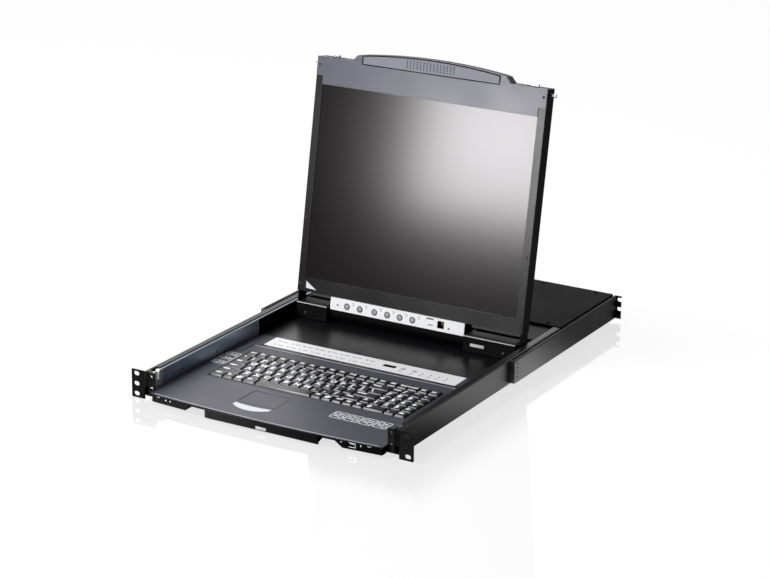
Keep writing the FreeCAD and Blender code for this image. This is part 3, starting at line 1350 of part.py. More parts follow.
def main():
    os.makedirs("parts", exist_ok=True)
    side = make_side_panel()
    save("side_panel_right", side)
    save("side_panel_left", mirrored(side))
    save("housing_floor", make_floor())
    save("rear_panel", make_rear_panel())
    save("rear_cover", make_rear_cover())
    save("housing_screws", make_housing_screws())
    save("main_board", make_main_board())
    save("rear_sockets", make_rear_sockets())
    save("power_rocker", make_power_rocker())

    outer = make_housing_member()
    middle = make_middle_member()
    inner = make_tray_member()
    for name, turn in (("right", lambda s: s), ("left", mirrored)):
        save("slide_outer_" + name, turn(outer))
        save("slide_middle_" + name, turn(middle))
        save("slide_inner_" + name, turn(inner))
        save("rear_bracket_" + name, turn(make_rear_bracket()))
    save("ball_cages_inner", pair(make_ball_cages(0)))
    save("ball_cages_outer", pair(make_ball_cages(1)))
    save("bracket_guides", pair(make_bracket_guide()))
    save("lid_catches", pair(make_lid_catch()))

    save("tray_pan", make_tray_pan())
    save("keyboard_deck", make_deck())
    save("rear_deck", make_rear_deck())
    save("front_fascia", make_fascia())
    save("pull_handle", make_handle())
    save("front_flanges", pair(make_front_flange()))
    save("key_guide_plate", make_guide_plate())
    save("key_board", make_key_board())
    for name, caps in key_places().items():
        save("key_row_" + name, make_key_row(caps))
    save("touchpad", make_touchpad())
    save("touch_button_left", make_click(-1))
    save("touch_button_right", make_click(1))
    save("port_strip", make_port_strip())
    save("strip_window", make_strip_window())
    save("port_button_down", make_port_button(0))
    save("port_button_up", make_port_button(1))
    save("hinge_mount_left", make_hinge_mount(-BLOCK_OUTER_X, -LEFT_BLOCK_INNER_X))
    save("hinge_mount_right", make_hinge_mount(RIGHT_BLOCK_INNER_X, BLOCK_OUTER_X))

    save("lid_shell", make_lid_shell())
    save("lid_bezel", make_bezel())
    save("lid_top_band", make_top_band())
    save("lid_grip", make_grip())
    save("screen_panel", make_screen())
    save("hinge_beam", make_hinge_beam())
    save("hinge_arms", pair(make_hinge_arm()))
    save("control_strip", make_control_strip())
    for n in range(len(CONTROL_BUTTON_XS)):
        save("control_button_%d" % (n + 1), make_control_button(n))
    save("lid_latch_left", make_latch(-1))
    save("lid_latch_right", make_latch(1))


main()
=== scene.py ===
# %% [markdown]
# A console drawer for a server rack, dressed for its picture. The sheet metal, slides, hinges and
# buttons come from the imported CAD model, which is the fixed frame here. This file gives each of
# them a finish and adds what a CAD solid leaves out: dished keycaps with their letters, printed
# outlines, screws, contacts and small lamps. Every length of a shape is in millimetres until the
# last moment, because the real object is drawn in millimetres, and Blender works in metres. Only
# the camera, the lamps and the coordinates inside a finish are in metres.

# %% Load the frame
import bpy
import math
import numpy as np
from mathutils import Matrix


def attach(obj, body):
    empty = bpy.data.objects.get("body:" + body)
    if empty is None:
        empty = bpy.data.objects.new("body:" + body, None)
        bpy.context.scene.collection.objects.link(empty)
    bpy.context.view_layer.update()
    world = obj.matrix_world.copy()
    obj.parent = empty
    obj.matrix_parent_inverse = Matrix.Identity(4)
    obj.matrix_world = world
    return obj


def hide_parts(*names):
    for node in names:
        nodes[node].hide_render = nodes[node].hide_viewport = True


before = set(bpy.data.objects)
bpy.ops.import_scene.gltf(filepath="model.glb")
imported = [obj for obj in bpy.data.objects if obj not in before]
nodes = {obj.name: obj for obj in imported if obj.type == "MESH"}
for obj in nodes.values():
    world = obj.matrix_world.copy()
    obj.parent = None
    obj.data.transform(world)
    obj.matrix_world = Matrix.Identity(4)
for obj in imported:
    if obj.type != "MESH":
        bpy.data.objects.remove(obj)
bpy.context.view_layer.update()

# %% [markdown]
# Helpers for surfaces. A closed loop of points is carried through a few positions, and each pair
# of neighbouring loops is joined with four-sided faces. Both ends are closed with one flat face.
# Keycaps, screws, lamps and printed lines are all made this way, so one helper serves them all.
# A frame or a rim is the endless kind: a small section is carried once round a loop.

# %% Loops, skins and pieces
MM_PER_METRE = 1000.0
SHARP_ABOVE = math.radians(30.0)


def rounded_loop(width, depth, radius, per_corner=5):
    """Rounded rectangle about the origin: each corner is a quarter circle whose centre lies one
    radius inside both sides, and the points run round it anticlockwise."""
    corners = np.array([[1, 1], [-1, 1], [-1, -1], [1, -1]])
    centre = corners * (np.array([width, depth]) / 2.0 - radius)
    start = np.arange(4) * math.pi / 2.0
    turn = np.linspace(0.0, math.pi / 2.0, per_corner)
    angle = start[:, None] + turn[None, :]
    ring = np.stack([np.cos(angle), np.sin(angle)], axis=-1) * radius
    return (centre[:, None, :] + ring).reshape(-1, 2)


def round_loop(radius, count=24):
    """Circle: cosine and sine of equally spaced angles times the radius."""
    angle = np.arange(count) * 2.0 * math.pi / count
    return np.stack([np.cos(angle), np.sin(angle)], axis=-1) * radius


def rings_at(loops, heights):
    """Puts each flat loop at its own height, as an array of rings of points."""
    flat = np.stack(loops)
    level = np.broadcast_to(np.asarray(heights, float)[:, None, None], flat.shape[:2] + (1,))
    return np.concatenate([flat, level], axis=-1)


def rings_round(section):
    """Rings of an endless skin. Each corner of the section is a loop at its own height, and ring
    number n runs through point n of every corner's loop."""
    loops, heights = zip(*section)
    return np.swapaxes(rings_at(loops, heights), 0, 1)


def skin(rings, endless=False):
    """Points and faces of a skin over rings of equal count: point n of a ring joins point n of the
    next one, and the first and last ring are closed by one face each unless the skin is endless.
    The enclosed volume is a sixth of the summed products of each triangle's corners; where it
    comes out negative the faces look inward, and all of them are turned over."""
    count, around = rings.shape[:2]
    ring = np.arange(count if endless else count - 1)
    point = np.arange(around)
    here = ring[:, None] * around + point[None, :]
    beside = ring[:, None] * around + (point[None, :] + 1) % around
    step = (ring[:, None] + 1) % count * around
    above = step + point[None, :]
    across = step + (point[None, :] + 1) % around
    points = rings.reshape(-1, 3)
    quads = np.stack([here, beside, across, above], axis=-1).reshape(-1, 4)
    triangles = [quads[:, [0, 1, 2]], quads[:, [0, 2, 3]]]
    faces = quads.tolist()
    if not endless:
        last = (count - 1) * around
        for end in (list(range(around))[::-1], list(range(last, last + around))):
            faces.append(end)
            triangles.append(np.array([[end[0], a, b] for a, b in zip(end[1:-1], end[2:])]))
    corner = points[np.concatenate(triangles)]
    volume = np.einsum("ni,ni->", corner[:, 0], np.cross(corner[:, 1], corner[:, 2])) / 6.0
    if volume < 0.0:
        faces = [face[::-1] for face in faces]
    return points, faces


def join(parts):
    """One list of points and one of faces from several, with the point numbers moved on."""
    points, faces, offset = [], [], 0
    for p, f in parts:
        points.append(np.asarray(p, float))
        faces += [[n + offset for n in face] for face in f]
        offset += len(p)
    return np.concatenate(points), faces


def piece(name, parts, body, material, replaces=()):
    """Makes one object from parts given in millimetres, and lets it ride on a body."""
    points, faces = join(parts)
    mesh = bpy.data.meshes.new(name)
    mesh.from_pydata((points / MM_PER_METRE).tolist(), [], faces)
    mesh.update()
    mesh.shade_smooth()
    mesh.set_sharp_from_angle(angle=SHARP_ABOVE)
    obj = bpy.data.objects.new(name, mesh)
    bpy.context.scene.collection.objects.link(obj)
    mesh.materials.append(material)
    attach(obj, body)
    if replaces:
        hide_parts(*replaces)


# %% [markdown]
# The lid leans back by a few degrees about its hinge. Pieces on the lid are easiest to place by
# how far they are across, how far up the lid, and how deep behind its front face. One function
# turns those three into the frame's own coordinates with the same turn that the CAD lid has.
# Two more place a stack on the tray and on an upright face that looks forward.

# %% Places on the lid, the tray and the front
HINGE_Y, HINGE_Z = 407.0, 12.0
LEAN = math.radians(9.6)
FACE_OFFSET, EDGE_OFFSET = 14.5, 24.1
LID_HEIGHT = 378.0
BAND_FOOT, BAND_FACE = 348.0, -0.8


def on_lid(points):
    """From (across, up the lid, depth) to the frame: the depth less the face offset and the rise
    plus the edge offset are turned back by the lean about the hinge axis."""
    p = np.asarray(points, float)
    depth = p[..., 2] - FACE_OFFSET
    rise = p[..., 1] + EDGE_OFFSET
    y = HINGE_Y + depth * math.cos(LEAN) + rise * math.sin(LEAN)
    z = HINGE_Z + rise * math.cos(LEAN) - depth * math.sin(LEAN)
    return np.stack([p[..., 0], y, z], axis=-1)


def on_front(points, x, z):
    """From (across, up, out) about a place to the frame: out is forward, against the frame's Y."""
    return np.stack([points[..., 0] + x, -points[..., 2], points[..., 1] + z], axis=-1)


def lid_stack(loops, depths, x=0.0, up=0.0):
    """A stack of loops that lies on the lid, from the deepest to the one nearest the viewer."""
    return skin(on_lid(rings_at(loops, depths) + np.array([x, up, 0.0])))


def deck_stack(loops, heights, x, y):
    """A stack of loops that stands on the tray at a place."""
    return skin(rings_at(loops, heights) + np.array([x, y, 0.0]))


def front_stack(loops, outs, x, z):
    """A stack of loops on an upright face that looks forward: loop axes run across and up."""
    return skin(on_front(rings_at(loops, outs), x, z))


# %% [markdown]
# Small shader helpers. Each one adds a node or two and returns an output, so that a finish, the
# floor and the surround can be written down as short sums.

# %% Shader sums
PLACE = ("ShaderNodeTexCoord", "Object")
FACING = ("ShaderNodeNewGeometry", "Normal")


def reckon(tree, kind, first, second=None):
    """One arithmetic node: each input is a number or another node's output."""
    node = tree.nodes.new("ShaderNodeMath")
    node.operation = kind
    for n, value in enumerate((first, second)):
        if isinstance(value, (int, float)):
            node.inputs[n].default_value = value
        elif value is not None:
            tree.links.new(value, node.inputs[n])
    return node.outputs["Value"]


def ease(tree, value, low, high, at_low=0.0, at_high=1.0):
    """Runs smoothly from one number to another while the value runs from low to high."""
    node = tree.nodes.new("ShaderNodeMapRange")
    node.interpolation_type = "SMOOTHSTEP"
    node.inputs["From Min"].default_value = low
    node.inputs["From Max"].default_value = high
    node.inputs["To Min"].default_value = at_low
    node.inputs["To Max"].default_value = at_high
    tree.links.new(value, node.inputs["Value"])
    return node.outputs["Result"]


def one_axis(tree, source, axis):
    """One coordinate of the place on the object in metres, or one part of the surface normal."""
    kind, output = source
    node = tree.nodes.new(kind)
    apart = tree.nodes.new("ShaderNodeSeparateXYZ")
    tree.links.new(node.outputs[output], apart.inputs["Vector"])
    return apart.outputs[axis]


# %% [markdown]
# Finishes. Almost everything on this object is black, so the differences between its blacks carry
# the picture: an even powder coat on the sheet metal, a slightly blue textured plastic on the
# tray, a satin lid and a glossy floor behind the keys. Each one is a principled shader whose
# roughness and colour wander a little with noise, and whose grain comes from a fine bump.
# The sharp CAD edges get a rounded normal, so that they catch a thin line of light.

# %% A finish from noise, grain and a soft edge
CLOUD_DETAIL, GRAIN_DETAIL = 4.0, 2.0
LEAST_ROUGH, RELIEF_DEPTH, EDGE_SAMPLES = 0.02, 0.0003, 4
SHEET_GRAIN, PLASTIC_GRAIN = 1400.0, 1700.0
FINE_EDGE, TINY_EDGE = 0.0002, 0.0001
ALONG_SLIDE = (1.0, 0.06, 1.0)


def finish(name, colour, rough, metal=0.0, drift=0.15, cloud=14.0, grain=900.0, bump=0.1,
           edge=0.0004, gloss=0.5, stretch=(1.0, 1.0, 1.0), rough_drift=0.08):
    """Colour is mixed between a darker and a lighter shade by slow noise, roughness is the given
    one plus or minus a drift by the same noise, and fine noise makes the bump."""
    mat = bpy.data.materials.new(name)
    mat.use_nodes = True
    tree = mat.node_tree
    shader = tree.nodes["Principled BSDF"]
    shader.inputs["Metallic"].default_value = metal
    shader.inputs["Specular IOR Level"].default_value = gloss
    where = tree.nodes.new("ShaderNodeTexCoord")
    stretched = tree.nodes.new("ShaderNodeMapping")
    stretched.inputs["Scale"].default_value = stretch
    tree.links.new(where.outputs["Object"], stretched.inputs["Vector"])
    slow = tree.nodes.new("ShaderNodeTexNoise")
    slow.inputs["Scale"].default_value = cloud
    slow.inputs["Detail"].default_value = CLOUD_DETAIL
    tree.links.new(stretched.outputs["Vector"], slow.inputs["Vector"])
    shade = tree.nodes.new("ShaderNodeMix")
    shade.data_type = "RGBA"
    shade.inputs["A"].default_value = tuple(c * (1.0 - drift) for c in colour) + (1.0,)
    shade.inputs["B"].default_value = tuple(min(1.0, c * (1.0 + drift)) for c in colour) + (1.0,)
    tree.links.new(slow.outputs["Fac"], shade.inputs["Factor"])
    tree.links.new(shade.outputs["Result"], shader.inputs["Base Color"])
    spread = tree.nodes.new("ShaderNodeMapRange")
    spread.inputs["To Min"].default_value = max(LEAST_ROUGH, rough - rough_drift)
    spread.inputs["To Max"].default_value = min(1.0, rough + rough_drift)
    tree.links.new(slow.outputs["Fac"], spread.inputs["Value"])
    tree.links.new(spread.outputs["Result"], shader.inputs["Roughness"])
    fine = tree.nodes.new("ShaderNodeTexNoise")
    fine.inputs["Scale"].default_value = grain
    fine.inputs["Detail"].default_value = GRAIN_DETAIL
    tree.links.new(stretched.outputs["Vector"], fine.inputs["Vector"])
    relief = tree.nodes.new("ShaderNodeBump")
    relief.inputs["Strength"].default_value = bump
    relief.inputs["Distance"].default_value = RELIEF_DEPTH
    tree.links.new(fine.outputs["Fac"], relief.inputs["Height"])
    if edge:
        soft = tree.nodes.new("ShaderNodeBevel")
        soft.samples = EDGE_SAMPLES
        soft.inputs["Radius"].default_value = edge
        tree.links.new(soft.outputs["Normal"], relief.inputs["Normal"])
    tree.links.new(relief.outputs["Normal"], shader.inputs["Normal"])
    return mat


def dull_where(mat, source, axis, low, high, full, least):
    """Specular level runs smoothly from one value to another, along a coordinate or with a part of
    the surface normal. A second run on the same finish multiplies the first."""
    tree = mat.node_tree
    fall = ease(tree, one_axis(tree, source, axis), low, high, full, least)
    level = tree.nodes["Principled BSDF"].inputs["Specular IOR Level"]
    if level.links:
        fall = reckon(tree, "MULTIPLY", level.links[0].from_socket, fall)
    tree.links.new(fall, level)


def paint_where(mat, source, axis, low, high, colour):
    """The base colour turns smoothly into another one, along a coordinate or with a part of the
    surface normal."""
    tree = mat.node_tree
    both = tree.nodes.new("ShaderNodeMix")
    both.data_type = "RGBA"
    base = tree.nodes["Principled BSDF"].inputs["Base Color"]
    tree.links.new(base.links[0].from_socket, both.inputs["A"])
    both.inputs["B"].default_value = colour + (1.0,)
    tree.links.new(ease(tree, one_axis(tree, source, axis), low, high), both.inputs["Factor"])
    tree.links.new(both.outputs["Result"], base)


powder = finish("powder_coat", (0.006, 0.006, 0.006), 0.32, bump=0.12, grain=SHEET_GRAIN,
                gloss=0.42)
powder_matt = finish("powder_coat_matt", (0.005, 0.005, 0.005), 0.7, bump=0.2, grain=SHEET_GRAIN,
                     gloss=0.05)
front_plastic = finish("front_plastic", (0.006, 0.006, 0.007), 0.36, bump=0.15,
                       grain=PLASTIC_GRAIN, edge=0.0009)
bracket_coat = finish("bracket_coat", (0.022, 0.024, 0.020), 0.34, bump=0.12, grain=SHEET_GRAIN,
                      gloss=0.9)
tray_plastic = finish("tray_plastic", (0.031, 0.031, 0.050), 0.44, bump=0.2, grain=PLASTIC_GRAIN,
                      edge=0.0011)
lid_plastic = finish("lid_plastic", (0.102, 0.102, 0.140), 0.31, bump=0.2, grain=PLASTIC_GRAIN)
lid_black = finish("lid_black", (0.004, 0.004, 0.004), 0.5, bump=0.2, grain=PLASTIC_GRAIN,
                   gloss=0.08)
block_black = finish("block_black", (0.006, 0.006, 0.006), 0.5, bump=0.15, grain=SHEET_GRAIN,
                     gloss=0.06)
bezel_plastic = finish("bezel_plastic", (0.008, 0.007, 0.008), 0.28, bump=0.08, grain=1500.0,
                       gloss=0.31)
grip_plastic = finish("grip_plastic", (0.23, 0.24, 0.285), 0.44, bump=0.2, grain=1200.0)
key_plastic = finish("key_plastic", (0.006, 0.006, 0.008), 0.30, bump=0.2, grain=2600.0, edge=0)
# also the dark used for painted shade in screw recesses and grip dimples
guide_plastic_and_recess_shade = finish("guide_plastic_and_recess_shade", (0.006, 0.006, 0.006), 0.7, bump=0.2)
gloss_sheet = finish("gloss_sheet", (0.004, 0.004, 0.005), 0.3, bump=0.02, rough_drift=0.03,
                     gloss=0.4)
zinc = finish("zinc_plate", (0.62, 0.65, 0.66), 0.3, metal=1.0, drift=0.12, cloud=9.0,
              stretch=(1.0, 0.08, 1.0), grain=1800.0, bump=0.12)
zinc_dark = finish("zinc_dark", (0.55, 0.63, 0.74), 0.36, metal=0.75, drift=0.2, cloud=12.0,
                   stretch=ALONG_SLIDE, grain=1500.0)
zinc_shaded = finish("zinc_shaded", (0.55, 0.64, 0.76), 0.36, metal=1.0, drift=0.2, cloud=12.0,
                     stretch=ALONG_SLIDE, grain=1500.0)
latch_zinc = finish("latch_zinc", (0.62, 0.62, 0.64), 0.35, metal=0.6, edge=FINE_EDGE)
socket_shell = finish("socket_shell", (0.34, 0.34, 0.36), 0.3, metal=0.5, edge=FINE_EDGE)
screw_steel = finish("screw_steel", (0.45, 0.45, 0.46), 0.3, metal=1.0, edge=TINY_EDGE)
screw_black = finish("screw_black", (0.02, 0.02, 0.02), 0.4, edge=TINY_EDGE)
strip_film = finish("strip_film", (0.86, 0.86, 0.87), 0.4, drift=0.03, bump=0.04)
control_film = finish("control_film", (0.96, 0.96, 0.97), 0.35, drift=0.02, bump=0.03)
button_grey = finish("button_grey", (0.62, 0.63, 0.67), 0.35, drift=0.05, bump=0.05)
control_grey = finish("control_grey", (0.40, 0.40, 0.41), 0.35, drift=0.05, bump=0.05)
button_dark = finish("button_dark", (0.05, 0.05, 0.055), 0.35, drift=0.1)
catch_plastic = finish("catch_plastic", (0.88, 0.92, 0.86), 0.45, drift=0.05, bump=0.08)
window_dark = finish("window_dark", (0.012, 0.006, 0.006), 0.1, bump=0.0, rough_drift=0.03)
board_green = finish("board_green", (0.01, 0.07, 0.025), 0.4, drift=0.3, cloud=120.0)
print_white = finish("print_white", (0.85, 0.86, 0.87), 0.5, drift=0.04, bump=0.02, edge=0)
print_grey = finish("print_grey", (0.16, 0.16, 0.17), 0.5, drift=0.05, bump=0.02, edge=0)
pale_plate_and_highlight = finish("pale_plate_and_highlight", (0.66, 0.66, 0.66), 0.35, drift=0.04, bump=0.03, edge=TINY_EDGE)
# gold darkened far below its own colour: painted shade from inside the socket
contact_gold_and_shade = finish("contact_gold_and_shade", (0.16, 0.12, 0.05), 0.4, metal=1.0, edge=0)
# pale white used only for painted highlights
highlight_white = finish("highlight_white", (0.85, 0.86, 0.88), 0.25, drift=0.02, bump=0.0, edge=0)

# %% [markdown]
# Some finishes change over their object. The sockets on the right are darker than the rest. The
# front end of the right slides and the right catch are darkened with painted shade, and the front
# sides of the keys are lightened with a painted highlight.
# The powder coat is dull on top and in front, the brackets are dull on top and towards the rear,
# the fascia towards the right, and the sunk floor at its rear. The two bounds of each line are
# metres along an axis or shares of the surface normal.

# %% Finishes that change over their object
paint_where(socket_shell, PLACE, "X", 0.10, 0.13, (0.015, 0.015, 0.016))
# painted shade: the right slides turn dark towards their front end
paint_where(zinc_shaded, PLACE, "Y", 0.06, 0.0, (0.02, 0.02, 0.024))
# painted shade: the catch on the right side turns near black, as it stands in shadow
paint_where(catch_plastic, PLACE, "X", -0.05, 0.05, (0.012, 0.012, 0.013))
# painted highlight: key faces that look forward turn lighter grey, as if lit from the front
paint_where(key_plastic, FACING, "Y", -0.45, -0.85, (0.17, 0.17, 0.18))
dull_where(powder, FACING, "Z", 0.6, 0.9, 0.42, 0.16)
dull_where(powder, FACING, "Y", -0.9, -0.5, 0.25, 1.0)
dull_where(bracket_coat, FACING, "Z", 0.3, 0.9, 1.0, 0.08)
dull_where(bracket_coat, PLACE, "Y", 0.36, 0.52, 1.0, 0.30)
dull_where(front_plastic, PLACE, "X", -0.17, 0.08, 0.36, 0.03)
dull_where(gloss_sheet, PLACE, "Y", 0.385, 0.425, 0.42, 0.02)

# %% [markdown]
# The screen is a dark panel behind a fine matt film. It looks nearly black where the room behind
# the camera is dark and silvery where it faces the lamp, which is how a matt film shows a light:
# as a wide soft patch and not as a mirror image. A half rough gloss over near black does that,
# with a faint pink tint in what it reflects.

# %% Screen film
SCREEN_TINT = (1.0, 0.965, 0.99, 1.0)
screen_film = finish("screen_film", (0.003, 0.002, 0.002), 0.185, drift=0.1, cloud=6.0,
                     grain=4200.0, bump=0.0, edge=0, rough_drift=0.004)
screen_shader = screen_film.node_tree.nodes["Principled BSDF"]
screen_shader.inputs["Specular Tint"].default_value = SCREEN_TINT
print("finishes", len(bpy.data.materials))

# %% [markdown]
# Every node of the frame gets one finish, except the key rows, whose solids make way for the
# dished caps further down.

# %% Finishes on the frame's nodes
dress = [
    (powder, ["side_panel_left", "side_panel_right", "housing_floor", "front_flanges"]),
    (powder_matt, ["rear_cover", "rear_panel", "tray_pan", "hinge_beam", "housing_screws"]),
    (block_black, ["hinge_mount_left", "hinge_mount_right"]),
    (tray_plastic, ["keyboard_deck", "touchpad"]),
    (front_plastic, ["front_fascia", "pull_handle"]),
    (bracket_coat, ["rear_bracket_left", "rear_bracket_right", "bracket_guides"]),
    (lid_plastic, ["lid_top_band"]),
    (lid_black, ["lid_shell", "hinge_arms"]),
    (bezel_plastic, ["lid_bezel"]),
    (grip_plastic, ["lid_grip"]),
    (gloss_sheet, ["rear_deck"]),
    (screen_film, ["screen_panel"]),
    (zinc, ["slide_outer_left", "slide_middle_left", "key_board"]),
    (zinc_dark, ["slide_inner_left"]),
    (zinc_shaded, ["slide_outer_right", "slide_middle_right", "slide_inner_right"]),
    (screw_steel, ["ball_cages_inner", "ball_cages_outer"]),
    (strip_film, ["port_strip"]),
    (control_film, ["control_strip"]),
    (button_grey, ["touch_button_left", "touch_button_right", "port_button_down",
                   "port_button_up"]),
    (control_grey, ["control_button_%d" % n for n in range(1, 7)]),
    (catch_plastic, ["lid_catches"]),
    (latch_zinc, ["lid_latch_left", "lid_latch_right"]),
    (guide_plastic_and_recess_shade, ["key_guide_plate"]),
    (socket_shell, ["rear_sockets"]),
    (button_dark, ["power_rocker"]),
    (window_dark, ["strip_window"]),
    (board_green, ["main_board"]),
]
for material, names in dress:
    for name in names:
        nodes[name].data.materials.clear()
        nodes[name].data.materials.append(material)
bare = [n for n in nodes if not n.startswith("key_row") and not nodes[n].data.materials]
print("nodes without a finish", bare)

# %% [markdown]
# The keys. Each cap is a rounded rectangle that narrows towards its top, with a softened upper
# edge and a shallow dish for the finger. It is drawn as a stack of loops, the last ones stepping
# inward and down into the dish. A whole row is one object, because one row moves as one piece.
# A row is its name, its depth, the widths of its keys in units and the marks on them.

# %% Keyboard layout
COLUMNS, UNIT, GAP, PITCH = 19, 17.8, 1.5, 19.05
FIELD_FRONT, FUNCTION_DEPTH, FUNCTION_GAP = 96.5, 17.0, 3.5
DECK_TOP = -4.5
KEY_TOP, KEY_BASE = DECK_TOP + 2.4, DECK_TOP - 2.0
DISH_DEPTH, DISH_ACROSS, DISH_ALONG = 0.35, 0.75, 0.25
DISH_SHARES = (0.8, 0.5, 0.2)
CAP_INSET_HEIGHT_RADIUS = [(0.0, KEY_BASE, 0.8), (0.1, DECK_TOP, 0.9), (1.0, KEY_TOP - 0.3, 1.2),
                           (1.5, KEY_TOP - 0.02, 1.5)]
pad_keys = [1, 1, 1, 1]
rows = [
    ("space", PITCH, [1.25, 1, 1, 1.25, 5.5, 1, 1, 1, 1, 1, 2, 1, 1],
     ["ctrl", "fn", "#", "alt", "", "alt", "#", "ctrl", "<", "v", "0", ".", "="]),
    ("lower", PITCH, [2.25] + [1] * 10 + [1.75, 1] + pad_keys,
     ["shift"] + list("ZXCVBNM,./") + ["shift", "^", "1", "2", "3", "+"]),
    ("home", PITCH, [1.75] + [1] * 11 + [2.25] + pad_keys,
     ["caps"] + list("ASDFGHJKL;'") + ["enter", "4", "5", "6", "+"]),
    ("upper", PITCH, [1.5] + [1] * 12 + [1.5] + pad_keys,
     ["tab"] + list("QWERTYUIOP[]") + ["\\", "7", "8", "9", "-"]),
    ("number", PITCH, [1] * 13 + [2] + pad_keys,
     list("`1234567890-=") + ["back", "num", "/", "*", "-"]),
    ("function", FUNCTION_DEPTH, [1] * COLUMNS,
     ["esc"] + ["F%d" % n for n in range(1, 13)] + ["ins", "del", "home", "end", "pg", "pg"]),
]


def dish(u, v):
    """Depth of the finger dish: deepest at the middle, fading with the square of the distance
    across and along, where u and v run from minus one to one."""
    return DISH_DEPTH * np.clip(1.0 - DISH_ACROSS * u * u - DISH_ALONG * v * v, 0.0, 1.0)


def keycap(x0, x1, y0, y1):
    """Loops from the foot to the shoulder shrink slightly, then turn over the edge, and the last
    loops run inward on the dished top."""
    w, d = x1 - x0, y1 - y0
    loops = [rounded_loop(w - 2 * inset, d - 2 * inset, radius, 4)
             for inset, _, radius in CAP_INSET_HEIGHT_RADIUS]
    levels = [np.full(len(loops[0]), height) for _, height, _ in CAP_INSET_HEIGHT_RADIUS]
    top = loops[-1]
    for share in DISH_SHARES:
        inner = top * share
        loops.append(inner)
        levels.append(KEY_TOP - dish(inner[:, 0] / (w / 2), inner[:, 1] / (d / 2)))
    flat = np.stack(loops) + np.array([(x0 + x1) / 2.0, (y0 + y1) / 2.0])
    return skin(np.concatenate([flat, np.stack(levels)[..., None]], axis=-1))


caps = {}
front = FIELD_FRONT
for name, depth, widths, _ in rows:
    if name == "function":
        front += FUNCTION_GAP
    right = -COLUMNS * UNIT / 2.0 + np.cumsum(widths) * UNIT
    left = right - np.array(widths) * UNIT
    caps[name] = [(a + GAP / 2, b - GAP / 2, front + GAP / 2, front + depth - GAP / 2)
                  for a, b in zip(left, right)]
    front += depth
    piece("keys_" + name, [keycap(*cap) for cap in caps[name]], "key_row_" + name, key_plastic,
          replaces=["key_row_" + name])
print("keys", sum(len(c) for c in caps.values()))

# %% [markdown]
# The letters are text made into thin meshes and laid on the caps. Blender's own font is plain
# enough for key legends. Each letter's points are lifted onto the dished surface with the same
# dish formula as the cap, so that a legend neither floats nor sinks. A single mark is large, a
# word is small, and the number row has two marks on each key, one over the other.

# %% Letters on the keys
STROKE_SHARE, CAPITAL_SHARE = 0.06, 0.72
LETTER_SIZE, WORD_SIZE, LETTER_IN, LETTER_DOWN = 12.5, 7.4, 2.9, 2.6
PLAIN_SIZE, SHIFTED_SIZE, PAIR_IN, PLAIN_UP, SHIFTED_DOWN = 8.4, 8.0, 2.5, 2.6, 8.2
LEGEND_LIFT = 0.06
letters = {}


def text_mesh(words, size):
    """Flat points and faces of a text, left edge and base line at zero, height set by size, and
    strokes thickened by a share of the height."""
    if (words, size) not in letters:
        curve = bpy.data.curves.new("legend", "FONT")
        curve.body = words
        curve.size = size / MM_PER_METRE
        curve.resolution_u = 2
        curve.offset = size / MM_PER_METRE * STROKE_SHARE
        holder = bpy.data.objects.new("legend", curve)
        bpy.context.scene.collection.objects.link(holder)
        bpy.context.view_layer.update()
        mesh = holder.to_mesh()
        co = np.zeros(len(mesh.vertices) * 3)
        mesh.vertices.foreach_get("co", co)
        letters[words, size] = (co.reshape(-1, 3) * MM_PER_METRE,
                                [list(p.vertices) for p in mesh.polygons])
        holder.to_mesh_clear()
        bpy.data.objects.remove(holder)
        bpy.data.curves.remove(curve)
    points, faces = letters[words, size]
    return points.copy(), faces


shifted = dict(zip("1234567890", "!@#$%^&*()"))
for name, _, _, marks in rows:
    legend = []
    for (x0, x1, y0, y1), mark in zip(caps[name], marks):
        if not mark:
            continue
        size = LETTER_SIZE if len(mark) == 1 else WORD_SIZE
        prints = [(mark, size, x0 + LETTER_IN, y1 - LETTER_DOWN - size * CAPITAL_SHARE)]
        if mark in shifted and name == "number":
            prints = [(mark, PLAIN_SIZE, x0 + PAIR_IN, y0 + PLAIN_UP),
                      (shifted[mark], SHIFTED_SIZE, x0 + PAIR_IN, y1 - SHIFTED_DOWN)]
        for words, height, x, y in prints:
            p, f = text_mesh(words, height)
            u = (p[:, 0] + x - (x0 + x1) / 2) / ((x1 - x0) / 2)
            v = (p[:, 1] + y - (y0 + y1) / 2) / ((y1 - y0) / 2)
            p = p + np.array([x, y, 0.0])
            p[:, 2] = KEY_TOP - dish(u, v) + LEGEND_LIFT
            legend.append((p, f))
    piece("legends_" + name, legend, "key_row_" + name, print_white)

# %% [markdown]
# Fine printing on the tray: white rounded frames round two groups of small signs, and the thin
# grooves that frame the key field and the touchpad. A frame is an endless skin: the same
# four-point section, a low rectangle, is set square to a rounded rectangle all the way round.
# Behind the keys a dark band and a pale line run across, in front of the white strip. The pale
# line is a painted highlight where the step up to the strip catches the light.

# %% Frames and grooves
PRINT_FOOT, PRINT_THICK = -0.1, 0.12
SIDE_X, SIDE_Y, SIDE_PITCH = -188.0, 152.0, 17.0
ROW_X, ROW_Y, ROW_PITCH = 84.0, 57.5, 24.3
FIELD_MARGIN, FIELD_GROOVE_OUT = 1.6, 5.0
PAD_X, PAD_Y = -41.0, 52.0
BAND_Y, EDGE_HIGHLIGHT_Y = 246.0, 239.6


def low_section(outer, inner, foot, top):
    """Corners of a low rectangular section between an outer and an inner loop."""
    return [(outer, foot), (outer, top), (inner, top), (inner, foot)]


def frame_line(width, depth, radius, x, y, line, thick=PRINT_THICK):
    """Section points lie inside and outside a rounded rectangle by half the line, low and high."""
    outer = rounded_loop(width + line, depth + line, radius + line / 2)
    inner = rounded_loop(width - line, depth - line, max(0.1, radius - line / 2))
    section = low_section(outer, inner, DECK_TOP + PRINT_FOOT, DECK_TOP + thick)
    return skin(rings_round(section) + np.array([x, y, 0.0]), endless=True)


def dash(x, y, width, depth, z=DECK_TOP, thick=PRINT_THICK):
    """A low flat bar printed on the tray."""
    loop = rounded_loop(width, depth, min(width, depth) * 0.3, 3)
    return deck_stack([loop, loop], [z + PRINT_FOOT, z + thick], x, y)


